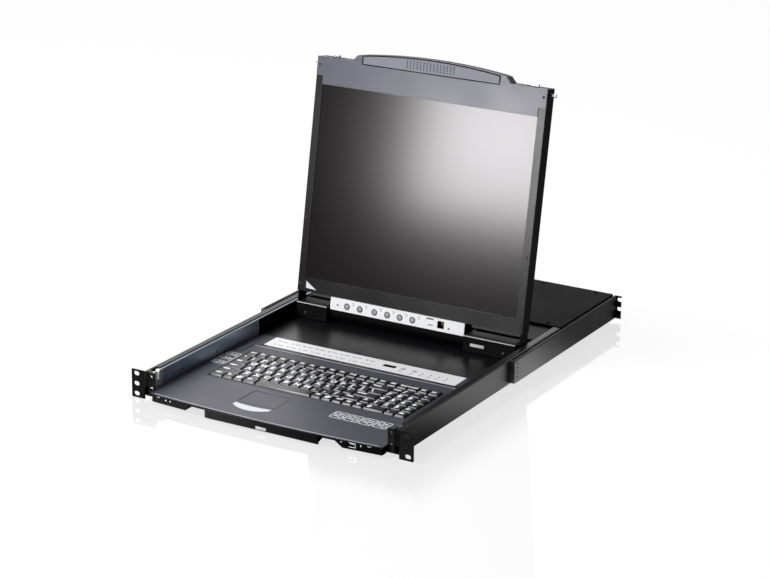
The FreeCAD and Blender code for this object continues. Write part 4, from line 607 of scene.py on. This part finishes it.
signs = [frame_line(24.0, 51.0, 3.0, SIDE_X, SIDE_Y + 17.5, 1.1)]
for n in range(3):
    y = SIDE_Y + SIDE_PITCH * n
    signs.append(frame_line(9.0, 8.0, 1.2, SIDE_X - 5.0, y, 1.3))
    signs.append(dash(SIDE_X + 6.0, y - 2.0, 7.0, 2.2))
    signs.append(dash(SIDE_X + 6.0, y + 2.5, 7.0, 1.6))
for n in range(4):
    x = ROW_X + ROW_PITCH * n
    signs.append(frame_line(21.5, 23.0, 2.0, x, ROW_Y, 1.1))
    signs.append(frame_line(7.5, 6.5, 1.0, x - 4.0, ROW_Y + 4.0, 1.2))
    signs.append(frame_line(7.5, 6.5, 1.0, x + 4.5, ROW_Y - 4.0, 1.2))
    signs.append(dash(x + 4.5, ROW_Y + 5.0, 7.0, 2.2))
    signs.append(dash(x - 4.5, ROW_Y - 3.5, 7.0, 2.2))
piece("tray_signs", signs, "drawer", print_white)

field_width = COLUMNS * UNIT + 2.0 * FIELD_MARGIN
field_depth = 5 * PITCH + FUNCTION_GAP + FUNCTION_DEPTH + 2.0 * FIELD_MARGIN
field_y = FIELD_FRONT - FIELD_MARGIN + field_depth / 2
grooves = [frame_line(field_width + FIELD_GROOVE_OUT, field_depth + FIELD_GROOVE_OUT, 2.5, 0.0,
                      field_y, 0.8, 0.25),
           frame_line(65.0, 49.0, 4.0, PAD_X, PAD_Y, 0.6, 0.2),
           dash(0.0, BAND_Y, 352.0, 4.4, thick=0.15)]
piece("tray_grooves", grooves, "drawer", bezel_plastic)
# painted highlight: a pale line where the step in front of the white strip catches the light
piece("tray_edge_highlight", [dash(0.0, EDGE_HIGHLIGHT_Y, 362.0, 0.7, thick=0.3)], "drawer", button_grey)

# %% [markdown]
# The two touchpad buttons are crescents with pale frames. Their edges are parabolas, so the frame
# of each runs between an outer and an inner outline made of the same two curves.

# %% Frames of the touchpad buttons
CRESCENT_POINTS = 9
OUTER_CRESCENT = (0.05, 31.2, (19.4, 22.6), (2.9, 14.4))
INNER_CRESCENT = (0.15, 30.4, (15.3, 18.8), (3.2, 15.2))
CRESCENT_THICK = 0.3


def crescent(half, split, reach, top, low):
    """Outline of one crescent button: its upper and lower edge run from a middle height to an end
    height with the square of the share of the way, out from the split."""
    share = np.linspace(0.0, 1.0, CRESCENT_POINTS)
    x = half * (split + (reach - split) * share)
    upper = top[0] + (top[1] - top[0]) * share ** 2
    lower = low[0] + (low[1] - low[0]) * share ** 2
    return np.concatenate([np.stack([x, upper], axis=1), np.stack([x, lower], axis=1)[::-1]])


crescents = []
for half in (-1.0, 1.0):
    section = low_section(crescent(half, *OUTER_CRESCENT), crescent(half, *INNER_CRESCENT),
                          DECK_TOP + PRINT_FOOT, DECK_TOP + CRESCENT_THICK)
    crescents.append(skin(rings_round(section) + np.array([PAD_X, 0.0, 0.0]), endless=True))
piece("click_frames", crescents, "drawer", button_grey)

# %% [markdown]
# The white strip behind the keys carries two rows of tiny port signs, the dark window and the
# buttons. The signs are short grey dashes and plain numbers, because at this size the eye only
# sees that something fine and regular is printed there. The buttons get bright rims.

# %% Port strip printing
STRIP_TOP, FINE_PRINT = DECK_TOP + 0.8, 0.06
PORTS_PER_ROW, PORT_X, PORT_PITCH = 8, -158.0, 22.5
PORT_ROWS = ((271.5, 1), (257.0, 9))
PORT_BUTTON_X, PORT_BUTTON_Y = (68.0, 88.0), 268.5
STRIP_LAMP_X, STRIP_LAMP_Y = (104.0, 118.0, 132.0, 146.0), 266.5


def port_number(x, y, number):
    """Two figures printed on the strip, their left lower corner at a place."""
    p, f = text_mesh("%02d" % number, 4.2)
    return p + np.array([x, y, STRIP_TOP + FINE_PRINT]), f


strip = []
for n in range(PORTS_PER_ROW):
    x = PORT_X + PORT_PITCH * n
    strip += [port_number(x, y, first_number + n) for y, first_number in PORT_ROWS]
    strip += [dash(x + 12.0, y + 1.5, 9.0, 1.6, STRIP_TOP, FINE_PRINT) for y, _ in PORT_ROWS]
for x in PORT_BUTTON_X + STRIP_LAMP_X:
    strip.append(dash(x, 258.0, 7.0, 1.4, STRIP_TOP, FINE_PRINT))
piece("strip_signs", strip, "drawer", print_grey)
section = low_section(round_loop(4.0), round_loop(2.9), STRIP_TOP + PRINT_FOOT, STRIP_TOP + 0.3)
rims = [skin(rings_round(section) + np.array([x, PORT_BUTTON_Y, 0.0]), endless=True)
        for x in PORT_BUTTON_X]
piece("strip_rims", rims, "drawer", zinc)

# %% [markdown]
# Small lamps are separate pieces, a dome on a circle: the loops shrink with the cosine of an
# angle while their height grows with its sine.

# %% Lamps
def dome(radius, rise, base, x, y):
    """Loops of a low dome: radius times cosine, base plus rise times sine, up to near the top."""
    angle = np.linspace(0.0, math.pi / 2 * 0.94, 6)
    loops = [round_loop(radius, 20)] + [round_loop(radius * math.cos(a), 20) for a in angle]
    heights = [base - 0.3] + [base + rise * math.sin(a) for a in angle]
    return deck_stack(loops, heights, x, y)


lamps = [dome(1.3, 0.5, STRIP_TOP, x, STRIP_LAMP_Y) for x in STRIP_LAMP_X]
piece("strip_lamps", lamps, "drawer", button_dark)

# %% [markdown]
# The control strip under the screen has six push buttons with dark rims, a network socket with
# its gold contacts, and two small lamps. The rims are rings about each button's own axis. Beside
# each button are two short grey dashes, and two longer ones stand over and under each other near
# the socket.

# %% Control strip details
CONTROL_FACE = 0.5
CONTROL_X, CONTROL_UP = (-108.7, -84.8, -57.9, -34.4, -11.6, 11.3), -11.8
LAMP_PLACES = ((76.5, -14.0), (-126.0, -12.0))
LAMP_RADIUS, LAMP_RISE, LAMP_ANGLES = 1.6, 0.7, (0.0, 0.4, 0.8, 1.2)
CONTACTS, CONTACT_X, CONTACT_UP, CONTACT_PITCH = 8, 58.4, -9.0, 1.03


def control_dash(width, height, radius, x, up):
    """A low flat bar printed on the control strip."""
    return lid_stack([rounded_loop(width, height, radius, 3)] * 2,
                     [CONTROL_FACE + 0.1, CONTROL_FACE - 0.06], x, up)


outer, inner = round_loop(5.3, 28), round_loop(3.7, 28)
section = [(outer, CONTROL_FACE + 0.2), (outer, CONTROL_FACE - 0.25),
           (inner, CONTROL_FACE - 0.45), (inner, CONTROL_FACE + 0.2)]
control_rims, control_signs = [], []
for x in CONTROL_X:
    rings = rings_round(section) + np.array([x, CONTROL_UP, 0.0])
    control_rims.append(skin(on_lid(rings), endless=True))
    control_signs.append(control_dash(5.0, 0.8, 0.3, x + 11.5, -5.2))
    control_signs.append(control_dash(3.4, 0.8, 0.3, x + 11.5, -8.0))
control_signs.append(control_dash(13.0, 2.6, 0.6, 42.4, -4.0))
control_signs.append(control_dash(9.0, 1.6, 0.6, 44.2, -13.6))
piece("control_rims", control_rims, "lid", button_dark)
piece("control_signs", control_signs, "lid", print_grey)
contacts = [lid_stack([rounded_loop(0.5, 7.0, 0.15, 2)] * 2, [9.0, 8.6],
                      CONTACT_X + n * CONTACT_PITCH, CONTACT_UP) for n in range(CONTACTS)]
piece("socket_contacts", contacts, "lid", contact_gold_and_shade)
lamp_loops = [round_loop(LAMP_RADIUS)]
lamp_depths = [CONTROL_FACE + 0.2]
for angle in LAMP_ANGLES:
    lamp_loops.append(round_loop(LAMP_RADIUS * math.cos(angle)))
    lamp_depths.append(CONTROL_FACE - LAMP_RISE * math.sin(angle))
piece("control_lamp", [lid_stack(lamp_loops, lamp_depths, x, up) for x, up in LAMP_PLACES], "lid",
      button_dark)

# %% [markdown]
# Screws. A pan head is a dome with a cross recess. The recess is a dark raised cross, painted
# shade for the hollow, so thin that it reads as a slot from any distance at which the whole object
# is in view. The hinge blocks also carry a small pale plate, and pale strips along their upper
# front edges are painted highlights where the bent edges catch the light.

# %% Screws on the lid and hinges
LID_SCREW_X, LID_SCREW_UP = (-198.0, 198.0), (365.0, 120.0, 12.0)
HINGE_SCREW_X, HINGE_SCREW_Z = (178.0, -181.0), 5.7
BLOCK_FRONT, BLOCK_TOP = 386.0, 21.9
HINGE_EDGE_HIGHLIGHTS = ((107.0, 197.5), (-197.5, -141.5))


def screw_rings(radius, rise):
    """Loops of a low head: a short cylinder, then a quarter round over the top."""
    angle = np.linspace(0.0, math.pi / 2 * 0.9, 5)
    loops = [round_loop(radius, 18)] + [round_loop(radius * math.cos(a) ** 0.7, 18) for a in angle]
    outs = [-0.3] + [rise * (0.4 + 0.6 * math.sin(a)) for a in angle]
    return loops, outs


heads, recess_shades = [], []
loops, outs = screw_rings(2.1, 0.7)
for x in LID_SCREW_X:
    for up in LID_SCREW_UP:
        face = BAND_FACE if up > BAND_FOOT else 0.0
        heads.append(lid_stack(loops, [face - o for o in outs], x, up))
        # painted shade: a dark raised cross stands for the shadow in each head's cross recess
        for w, h in ((2.6, 0.6), (0.6, 2.6)):
            recess_shades.append(lid_stack([rounded_loop(w, h, 0.2, 2)] * 2,
                                     [face - 0.4, face - 0.74], x, up))
piece("lid_screws", heads, "lid", screw_black)
piece("lid_screw_recess_shade", recess_shades, "lid", guide_plastic_and_recess_shade)

loops, outs = screw_rings(2.6, 1.0)
hinge_heads = [front_stack(loops, [o - BLOCK_FRONT for o in outs], x, HINGE_SCREW_Z)
               for x in HINGE_SCREW_X]
piece("hinge_screws", hinge_heads, "drawer", screw_black)
plate = rounded_loop(24.0, 4.9, 0.8, 4)
hinge_plate = front_stack([plate, plate, plate * 0.98], [-386.2, -385.6, -385.5], 132.0, 9.2)
piece("hinge_plate", [hinge_plate], "drawer", pale_plate_and_highlight)

# painted highlights: pale strips where the hinge blocks' bent upper front edges catch the light
edge_highlights = []
for x0, x1 in HINGE_EDGE_HIGHLIGHTS:
    line = rounded_loop(x1 - x0, 1.3, 0.4, 3)
    edge_highlights.append(front_stack([line, line], [-387.0, -386.25], (x0 + x1) / 2.0, BLOCK_TOP))
piece("hinge_edge_highlights", edge_highlights, "drawer", pale_plate_and_highlight)

# %% [markdown]
# The front of the tray: a painted highlight along the deck's front edge, a small bare plate on the
# pull bar, the data port's tongue and rim, and small white dots and bars on the fascia, which are
# painted highlights too. The sheet edge there is bowed, so each piece gets the depth of the bow at
# its own place: a parabola from the middle to the ends.

# %% Front details
FASCIA_Y, FASCIA_BOW, FASCIA_HALF = -20.4, 8.0, 197.0
EDGE_REACH, EDGE_POINTS = 192.0, 65
EDGE_SECTION = np.array([(0.6, -0.5), (0.6, 0.15), (-0.25, 0.15), (-0.25, -0.5)])
DATA_PORT_X, DATA_PORT_Z, TONGUE_Z = 149.0, -11.1, -10.2
FRONT_DOTS = ((132.5, -9.3, 1.3), (164.0, -9.8, 1.5), (-171.0, -10.5, 1.4), (-163.0, -10.5, 1.4))
FRONT_BARS, FRONT_BAR_Z = ((176.0, 8.0), (-184.0, 7.0)), -8.6


def fascia_y(x):
    """Front of the fascia at a place across: the middle plus the bow times the square of the
    share of the half width."""
    return FASCIA_Y + FASCIA_BOW * (x / FASCIA_HALF) ** 2


# painted highlight: a pale strip along the deck's rounded front edge, where it catches the light
highlight_rings = np.stack([np.stack([np.full(len(EDGE_SECTION), x), fascia_y(x) + EDGE_SECTION[:, 0],
                                 DECK_TOP + EDGE_SECTION[:, 1]], axis=1)
                       for x in np.linspace(-EDGE_REACH, EDGE_REACH, EDGE_POINTS)])
piece("front_edge_highlight", [skin(highlight_rings)], "drawer", pale_plate_and_highlight)
plate = rounded_loop(18.0, 4.6, 0.8, 4)
handle_plate = front_stack([plate, plate, plate * 0.97], [22.5, 22.9, 23.0], 1.0, -15.6)
piece("handle_plate", [handle_plate], "drawer", pale_plate_and_highlight)
tongue = rounded_loop(9.6, 1.9, 0.3, 3)
piece("port_tongue", [front_stack([tongue, tongue], [9.0, 13.5], DATA_PORT_X, TONGUE_Z)],
      "drawer", pale_plate_and_highlight)
# painted highlights: small white domes and bars where the fascia's screws and edges catch the
# light
front_highlights = []
for x, z, radius in FRONT_DOTS:
    loops, outs = screw_rings(radius, 0.5)
    front_highlights.append(front_stack(loops, [o - fascia_y(x) for o in outs], x, z))
for x, width in FRONT_BARS:
    bar = rounded_loop(width, 1.1, 0.4, 3)
    front_highlights.append(front_stack([bar, bar], [-fascia_y(x) - 0.6, -fascia_y(x) + 0.12], x,
                                   FRONT_BAR_Z))
piece("front_highlights", front_highlights, "drawer", highlight_white)
section = low_section(rounded_loop(14.2, 7.0, 0.8, 4), rounded_loop(12.7, 5.5, 0.4, 4), 14.0, 16.1)
port_rim = skin(on_front(rings_round(section), DATA_PORT_X, DATA_PORT_Z), endless=True)
piece("port_rim", [port_rim], "drawer", zinc)

# %% [markdown]
# Last details of the lid: a pale triangle at the lower left of the screen, a painted highlight
# where that corner catches the light, a dark line round the grip, and the grip's dimples. From a
# distance the dimples are a field of dark dots, so a thin dark disc lies on the floor of each one
# as painted shade for its hollow.

# %% Painted screen corner highlight, grip line and painted dimple shade
SCREEN_CORNER_HIGHLIGHT = np.array([(-187.5, 17.0), (-187.0, 5.5), (-168.0, 4.8)])
GRIP_HALF, GRIP_ENDS, GRIP_MIDDLE, GRIP_BASE, GRIP_POINTS = 121.0, 9.5, 17.0, -3.5, 33
GRIP_LINE_OUT, GRIP_LINE_IN = 0.8, -0.7
DOT_COLUMNS, DOT_ROWS, DOT_RADIUS, DOT_UP = 15, 4, 1.15, 6.75
DOT_PITCH_ACROSS, DOT_PITCH_UP = 5.9, 3.4


def grip_loop(grow):
    """Outline of the grip: the upper edge falls from the middle with the square of the share of
    the way to the end, the lower edge is straight. Grow moves it outward on all sides."""
    half = GRIP_HALF + grow
    middle, ends = GRIP_MIDDLE + grow, GRIP_ENDS + grow
    across = np.linspace(-half, half, GRIP_POINTS)
    upper = middle - (middle - ends) * (across / half) ** 2
    lower = np.full(GRIP_POINTS, GRIP_BASE - grow)
    return np.concatenate([np.stack([across, upper], axis=1),
                           np.stack([across, lower], axis=1)[::-1]])


# painted highlight: a pale triangle where the screen's lower left corner catches the light
piece("screen_corner_highlight", [lid_stack([SCREEN_CORNER_HIGHLIGHT, SCREEN_CORNER_HIGHLIGHT], [0.1, -0.12])], "lid", highlight_white)
section = low_section(grip_loop(GRIP_LINE_OUT), grip_loop(GRIP_LINE_IN), 1.2, BAND_FACE - 0.1)
rings = rings_round(section) + np.array([0.0, LID_HEIGHT, 0.0])
piece("grip_line", [skin(on_lid(rings), endless=True)], "lid", lid_black)
# painted shade: a thin dark disc on the floor of each dimple
dot = round_loop(DOT_RADIUS, 8)
grip_dimple_shade = []
for column in range(DOT_COLUMNS):
    for row in range(DOT_ROWS):
        x = (column - (DOT_COLUMNS - 1) / 2.0) * DOT_PITCH_ACROSS
        up = LID_HEIGHT + DOT_UP + (row - (DOT_ROWS - 1) / 2.0) * DOT_PITCH_UP
        grip_dimple_shade.append(lid_stack([dot, dot], [0.3, -0.47], x, up))
piece("grip_dimple_shade", grip_dimple_shade, "lid", guide_plastic_and_recess_shade)

# %% [markdown]
# Stage: a white floor that keeps a faint shadow and a faint reflection. It is mostly its own
# white, with a little plain diffuse for the shadow and a little gloss for the reflection, so that
# it stays white without any extra light on the object. The gloss is strongest near the object and
# fades outward. What the object itself mirrors of the floor is dark near the front, bright about
# the middle and dark again at the rear, as its side wall shows it.

# %% Floor
FLOOR_Z, FLOOR_HALF = -22.0, 6000.0
FLOOR_DIFFUSE, FLOOR_ROUGH, OPEN_FLOOR = 0.09, 0.05, 0.925
MIRROR_NEAR, MIRROR_FAR, MIRROR_FADE = 0.11, 0.03, (0.04, 0.12)
BESIDE_X, AHEAD_Y = 0.22, -0.02
GLOW_RISE, GLOW_FRONT, GLOW_MIDDLE = (0.08, 0.3), 0.04, 1.5
GLOW_FALL, GLOW_REAR = (0.38, 0.62), 0.12
SKY = 1.8
square = np.array([[-FLOOR_HALF, -FLOOR_HALF, FLOOR_Z], [FLOOR_HALF, -FLOOR_HALF, FLOOR_Z],
                   [FLOOR_HALF, FLOOR_HALF, FLOOR_Z], [-FLOOR_HALF, FLOOR_HALF, FLOOR_Z]])
floor_mesh = bpy.data.meshes.new("floor")
floor_mesh.from_pydata((square / MM_PER_METRE).tolist(), [], [[0, 1, 2, 3]])
floor = bpy.data.objects.new("floor", floor_mesh)
bpy.context.scene.collection.objects.link(floor)
floor_white = bpy.data.materials.new("floor_white")
floor_white.use_nodes = True
tree = floor_white.node_tree
tree.nodes.remove(tree.nodes["Principled BSDF"])
floor_x = one_axis(tree, PLACE, "X")
floor_y = one_axis(tree, PLACE, "Y")

sideways = reckon(tree, "SUBTRACT", reckon(tree, "ABSOLUTE", floor_x), BESIDE_X)
sideways = reckon(tree, "MAXIMUM", sideways, 0.0)
ahead = reckon(tree, "MAXIMUM", reckon(tree, "SUBTRACT", AHEAD_Y, floor_y), 0.0)
away = reckon(tree, "MAXIMUM", sideways, ahead)
mirror_share = ease(tree, away, *MIRROR_FADE, MIRROR_NEAR, MIRROR_FAR)
mirror_tint = tree.nodes.new("ShaderNodeCombineXYZ")
for axis in "XYZ":
    tree.links.new(mirror_share, mirror_tint.inputs[axis])
plain = tree.nodes.new("ShaderNodeBsdfDiffuse")
plain.inputs["Color"].default_value = (FLOOR_DIFFUSE, FLOOR_DIFFUSE, FLOOR_DIFFUSE, 1.0)
mirror = tree.nodes.new("ShaderNodeBsdfGlossy")
mirror.inputs["Roughness"].default_value = FLOOR_ROUGH
tree.links.new(mirror_tint.outputs["Vector"], mirror.inputs["Color"])

path = tree.nodes.new("ShaderNodeLightPath")
rearward = ease(tree, floor_y, *GLOW_RISE, GLOW_FRONT, GLOW_MIDDLE)
farther = ease(tree, floor_y, *GLOW_FALL, 1.0, GLOW_REAR)
mirrored_part = reckon(tree, "MULTIPLY", path.outputs["Is Glossy Ray"],
                       reckon(tree, "MULTIPLY", rearward, farther))
seen = reckon(tree, "MAXIMUM", path.outputs["Is Camera Ray"], mirrored_part)
own_white = reckon(tree, "SUBTRACT", OPEN_FLOOR, reckon(tree, "MULTIPLY", mirror_share, SKY))
glow = tree.nodes.new("ShaderNodeEmission")
tree.links.new(reckon(tree, "MULTIPLY", own_white, seen), glow.inputs["Strength"])
shadowed = tree.nodes.new("ShaderNodeAddShader")
whole = tree.nodes.new("ShaderNodeAddShader")
tree.links.new(plain.outputs["BSDF"], shadowed.inputs[0])
tree.links.new(mirror.outputs["BSDF"], shadowed.inputs[1])
tree.links.new(shadowed.outputs["Shader"], whole.inputs[0])
tree.links.new(glow.outputs["Emission"], whole.inputs[1])
tree.links.new(whole.outputs["Shader"], tree.nodes["Material Output"].inputs["Surface"])
floor_mesh.materials.append(floor_white)

# %% [markdown]
# Surround: plain white for the camera, and for all other rays a dark room that grows bright
# towards one side, left of the object, behind and above it. How near a ray comes to that side is
# the dot product of the ray's direction with the side's own.

# %% Surround
SKY_SIDE, SKY_EDGES, SKY_DARK = (-0.42, 0.84, 0.34), (0.35, 0.95), 0.03
world = bpy.data.worlds.new("surround")
bpy.context.scene.world = world
world.use_nodes = True
tree = world.node_tree
path = tree.nodes.new("ShaderNodeLightPath")
where = tree.nodes.new("ShaderNodeTexCoord")
along = tree.nodes.new("ShaderNodeVectorMath")
along.operation = "DOT_PRODUCT"
along.inputs[1].default_value = SKY_SIDE
tree.links.new(where.outputs["Generated"], along.inputs[0])
room = ease(tree, along.outputs["Value"], *SKY_EDGES, SKY_DARK, SKY)
seen = reckon(tree, "MAXIMUM", path.outputs["Is Camera Ray"], path.outputs["Is Transmission Ray"])
back = tree.nodes["Background"]
back.inputs["Color"].default_value = (1.0, 1.0, 1.0, 1.0)
tree.links.new(reckon(tree, "MAXIMUM", seen, room), back.inputs["Strength"])

# %% [markdown]
# Camera and lamps. One large soft box hangs where the screen mirrors it towards the camera, so
# the film shows a wide pale patch towards its upper right corner. The place follows from the law
# of reflection: the line from the camera to that spot is mirrored about the direction the screen
# faces. A second one, high on the left, lights the tray and its edges.

# %% Camera and lamps
AZIMUTH, ELEVATION, ROLL = math.radians(30.24), math.radians(18.72), math.radians(0.63)
EYE = np.array([1.7650, -2.69906, 1.28269])
FOCAL_PIXELS, WIDTH_PIXELS, SENSOR_WIDTH = 2403.56, 770, 36.0
SCREEN_SPOT = [150.0, 298.0, 0.0]
SCREEN_LAMP_AWAY, SCREEN_LAMP_SIZE, SCREEN_LAMP_WATTS = 1.57, (0.39, 0.36), 10.2
EDGE_LAMP_AT, EDGE_LAMP_AIM = (-1.5, -0.83, 2.62), (0.0, 0.19, 0.0)
EDGE_LAMP_SIZE, EDGE_LAMP_WATTS = (0.95, 0.95), 78.0


def placed(axes, at):
    """A four by four matrix from three axes as columns and a place."""
    matrix = np.eye(4)
    matrix[:3, :3] = np.stack(axes, axis=1)
    matrix[:3, 3] = at
    return Matrix(matrix.tolist())


backward = np.array([math.sin(AZIMUTH) * math.cos(ELEVATION),
                     -math.cos(AZIMUTH) * math.cos(ELEVATION), math.sin(ELEVATION)])
level = np.array([math.cos(AZIMUTH), math.sin(AZIMUTH), 0.0])
steep = np.cross(level, -backward)
across = level * math.cos(ROLL) + steep * math.sin(ROLL)
upward = -level * math.sin(ROLL) + steep * math.cos(ROLL)
camera_data = bpy.data.cameras.new("camera")
camera_data.sensor_width = SENSOR_WIDTH
camera_data.lens = FOCAL_PIXELS / WIDTH_PIXELS * SENSOR_WIDTH
camera = bpy.data.objects.new("camera", camera_data)
bpy.context.scene.collection.objects.link(camera)
camera.matrix_world = placed([across, upward, backward], EYE)
bpy.context.scene.camera = camera


def soft_box(name, at, towards, size, watts):
    """An area lamp at a place, turned so that its own backward axis points away from its aim."""
    data = bpy.data.lights.new(name, "AREA")
    data.shape = "RECTANGLE"
    data.size, data.size_y = size
    data.energy = watts
    lamp = bpy.data.objects.new(name, data)
    bpy.context.scene.collection.objects.link(lamp)
    away = np.asarray(at, float) - np.asarray(towards, float)
    away = away / np.linalg.norm(away)
    side = np.cross([0.0, 0.0, 1.0], away)
    side = side / np.linalg.norm(side)
    lamp.matrix_world = placed([side, np.cross(away, side), away], at)


spot = on_lid(SCREEN_SPOT) / MM_PER_METRE
facing = np.array([0.0, -math.cos(LEAN), math.sin(LEAN)])
ray = spot - EYE
ray = ray / np.linalg.norm(ray)
mirrored = ray - 2.0 * np.dot(ray, facing) * facing
soft_box("screen_lamp", spot + mirrored * SCREEN_LAMP_AWAY, spot, SCREEN_LAMP_SIZE,
         SCREEN_LAMP_WATTS)
soft_box("edge_lamp", EDGE_LAMP_AT, EDGE_LAMP_AIM, EDGE_LAMP_SIZE, EDGE_LAMP_WATTS)
bpy.context.scene.view_settings.view_transform = "Standard"
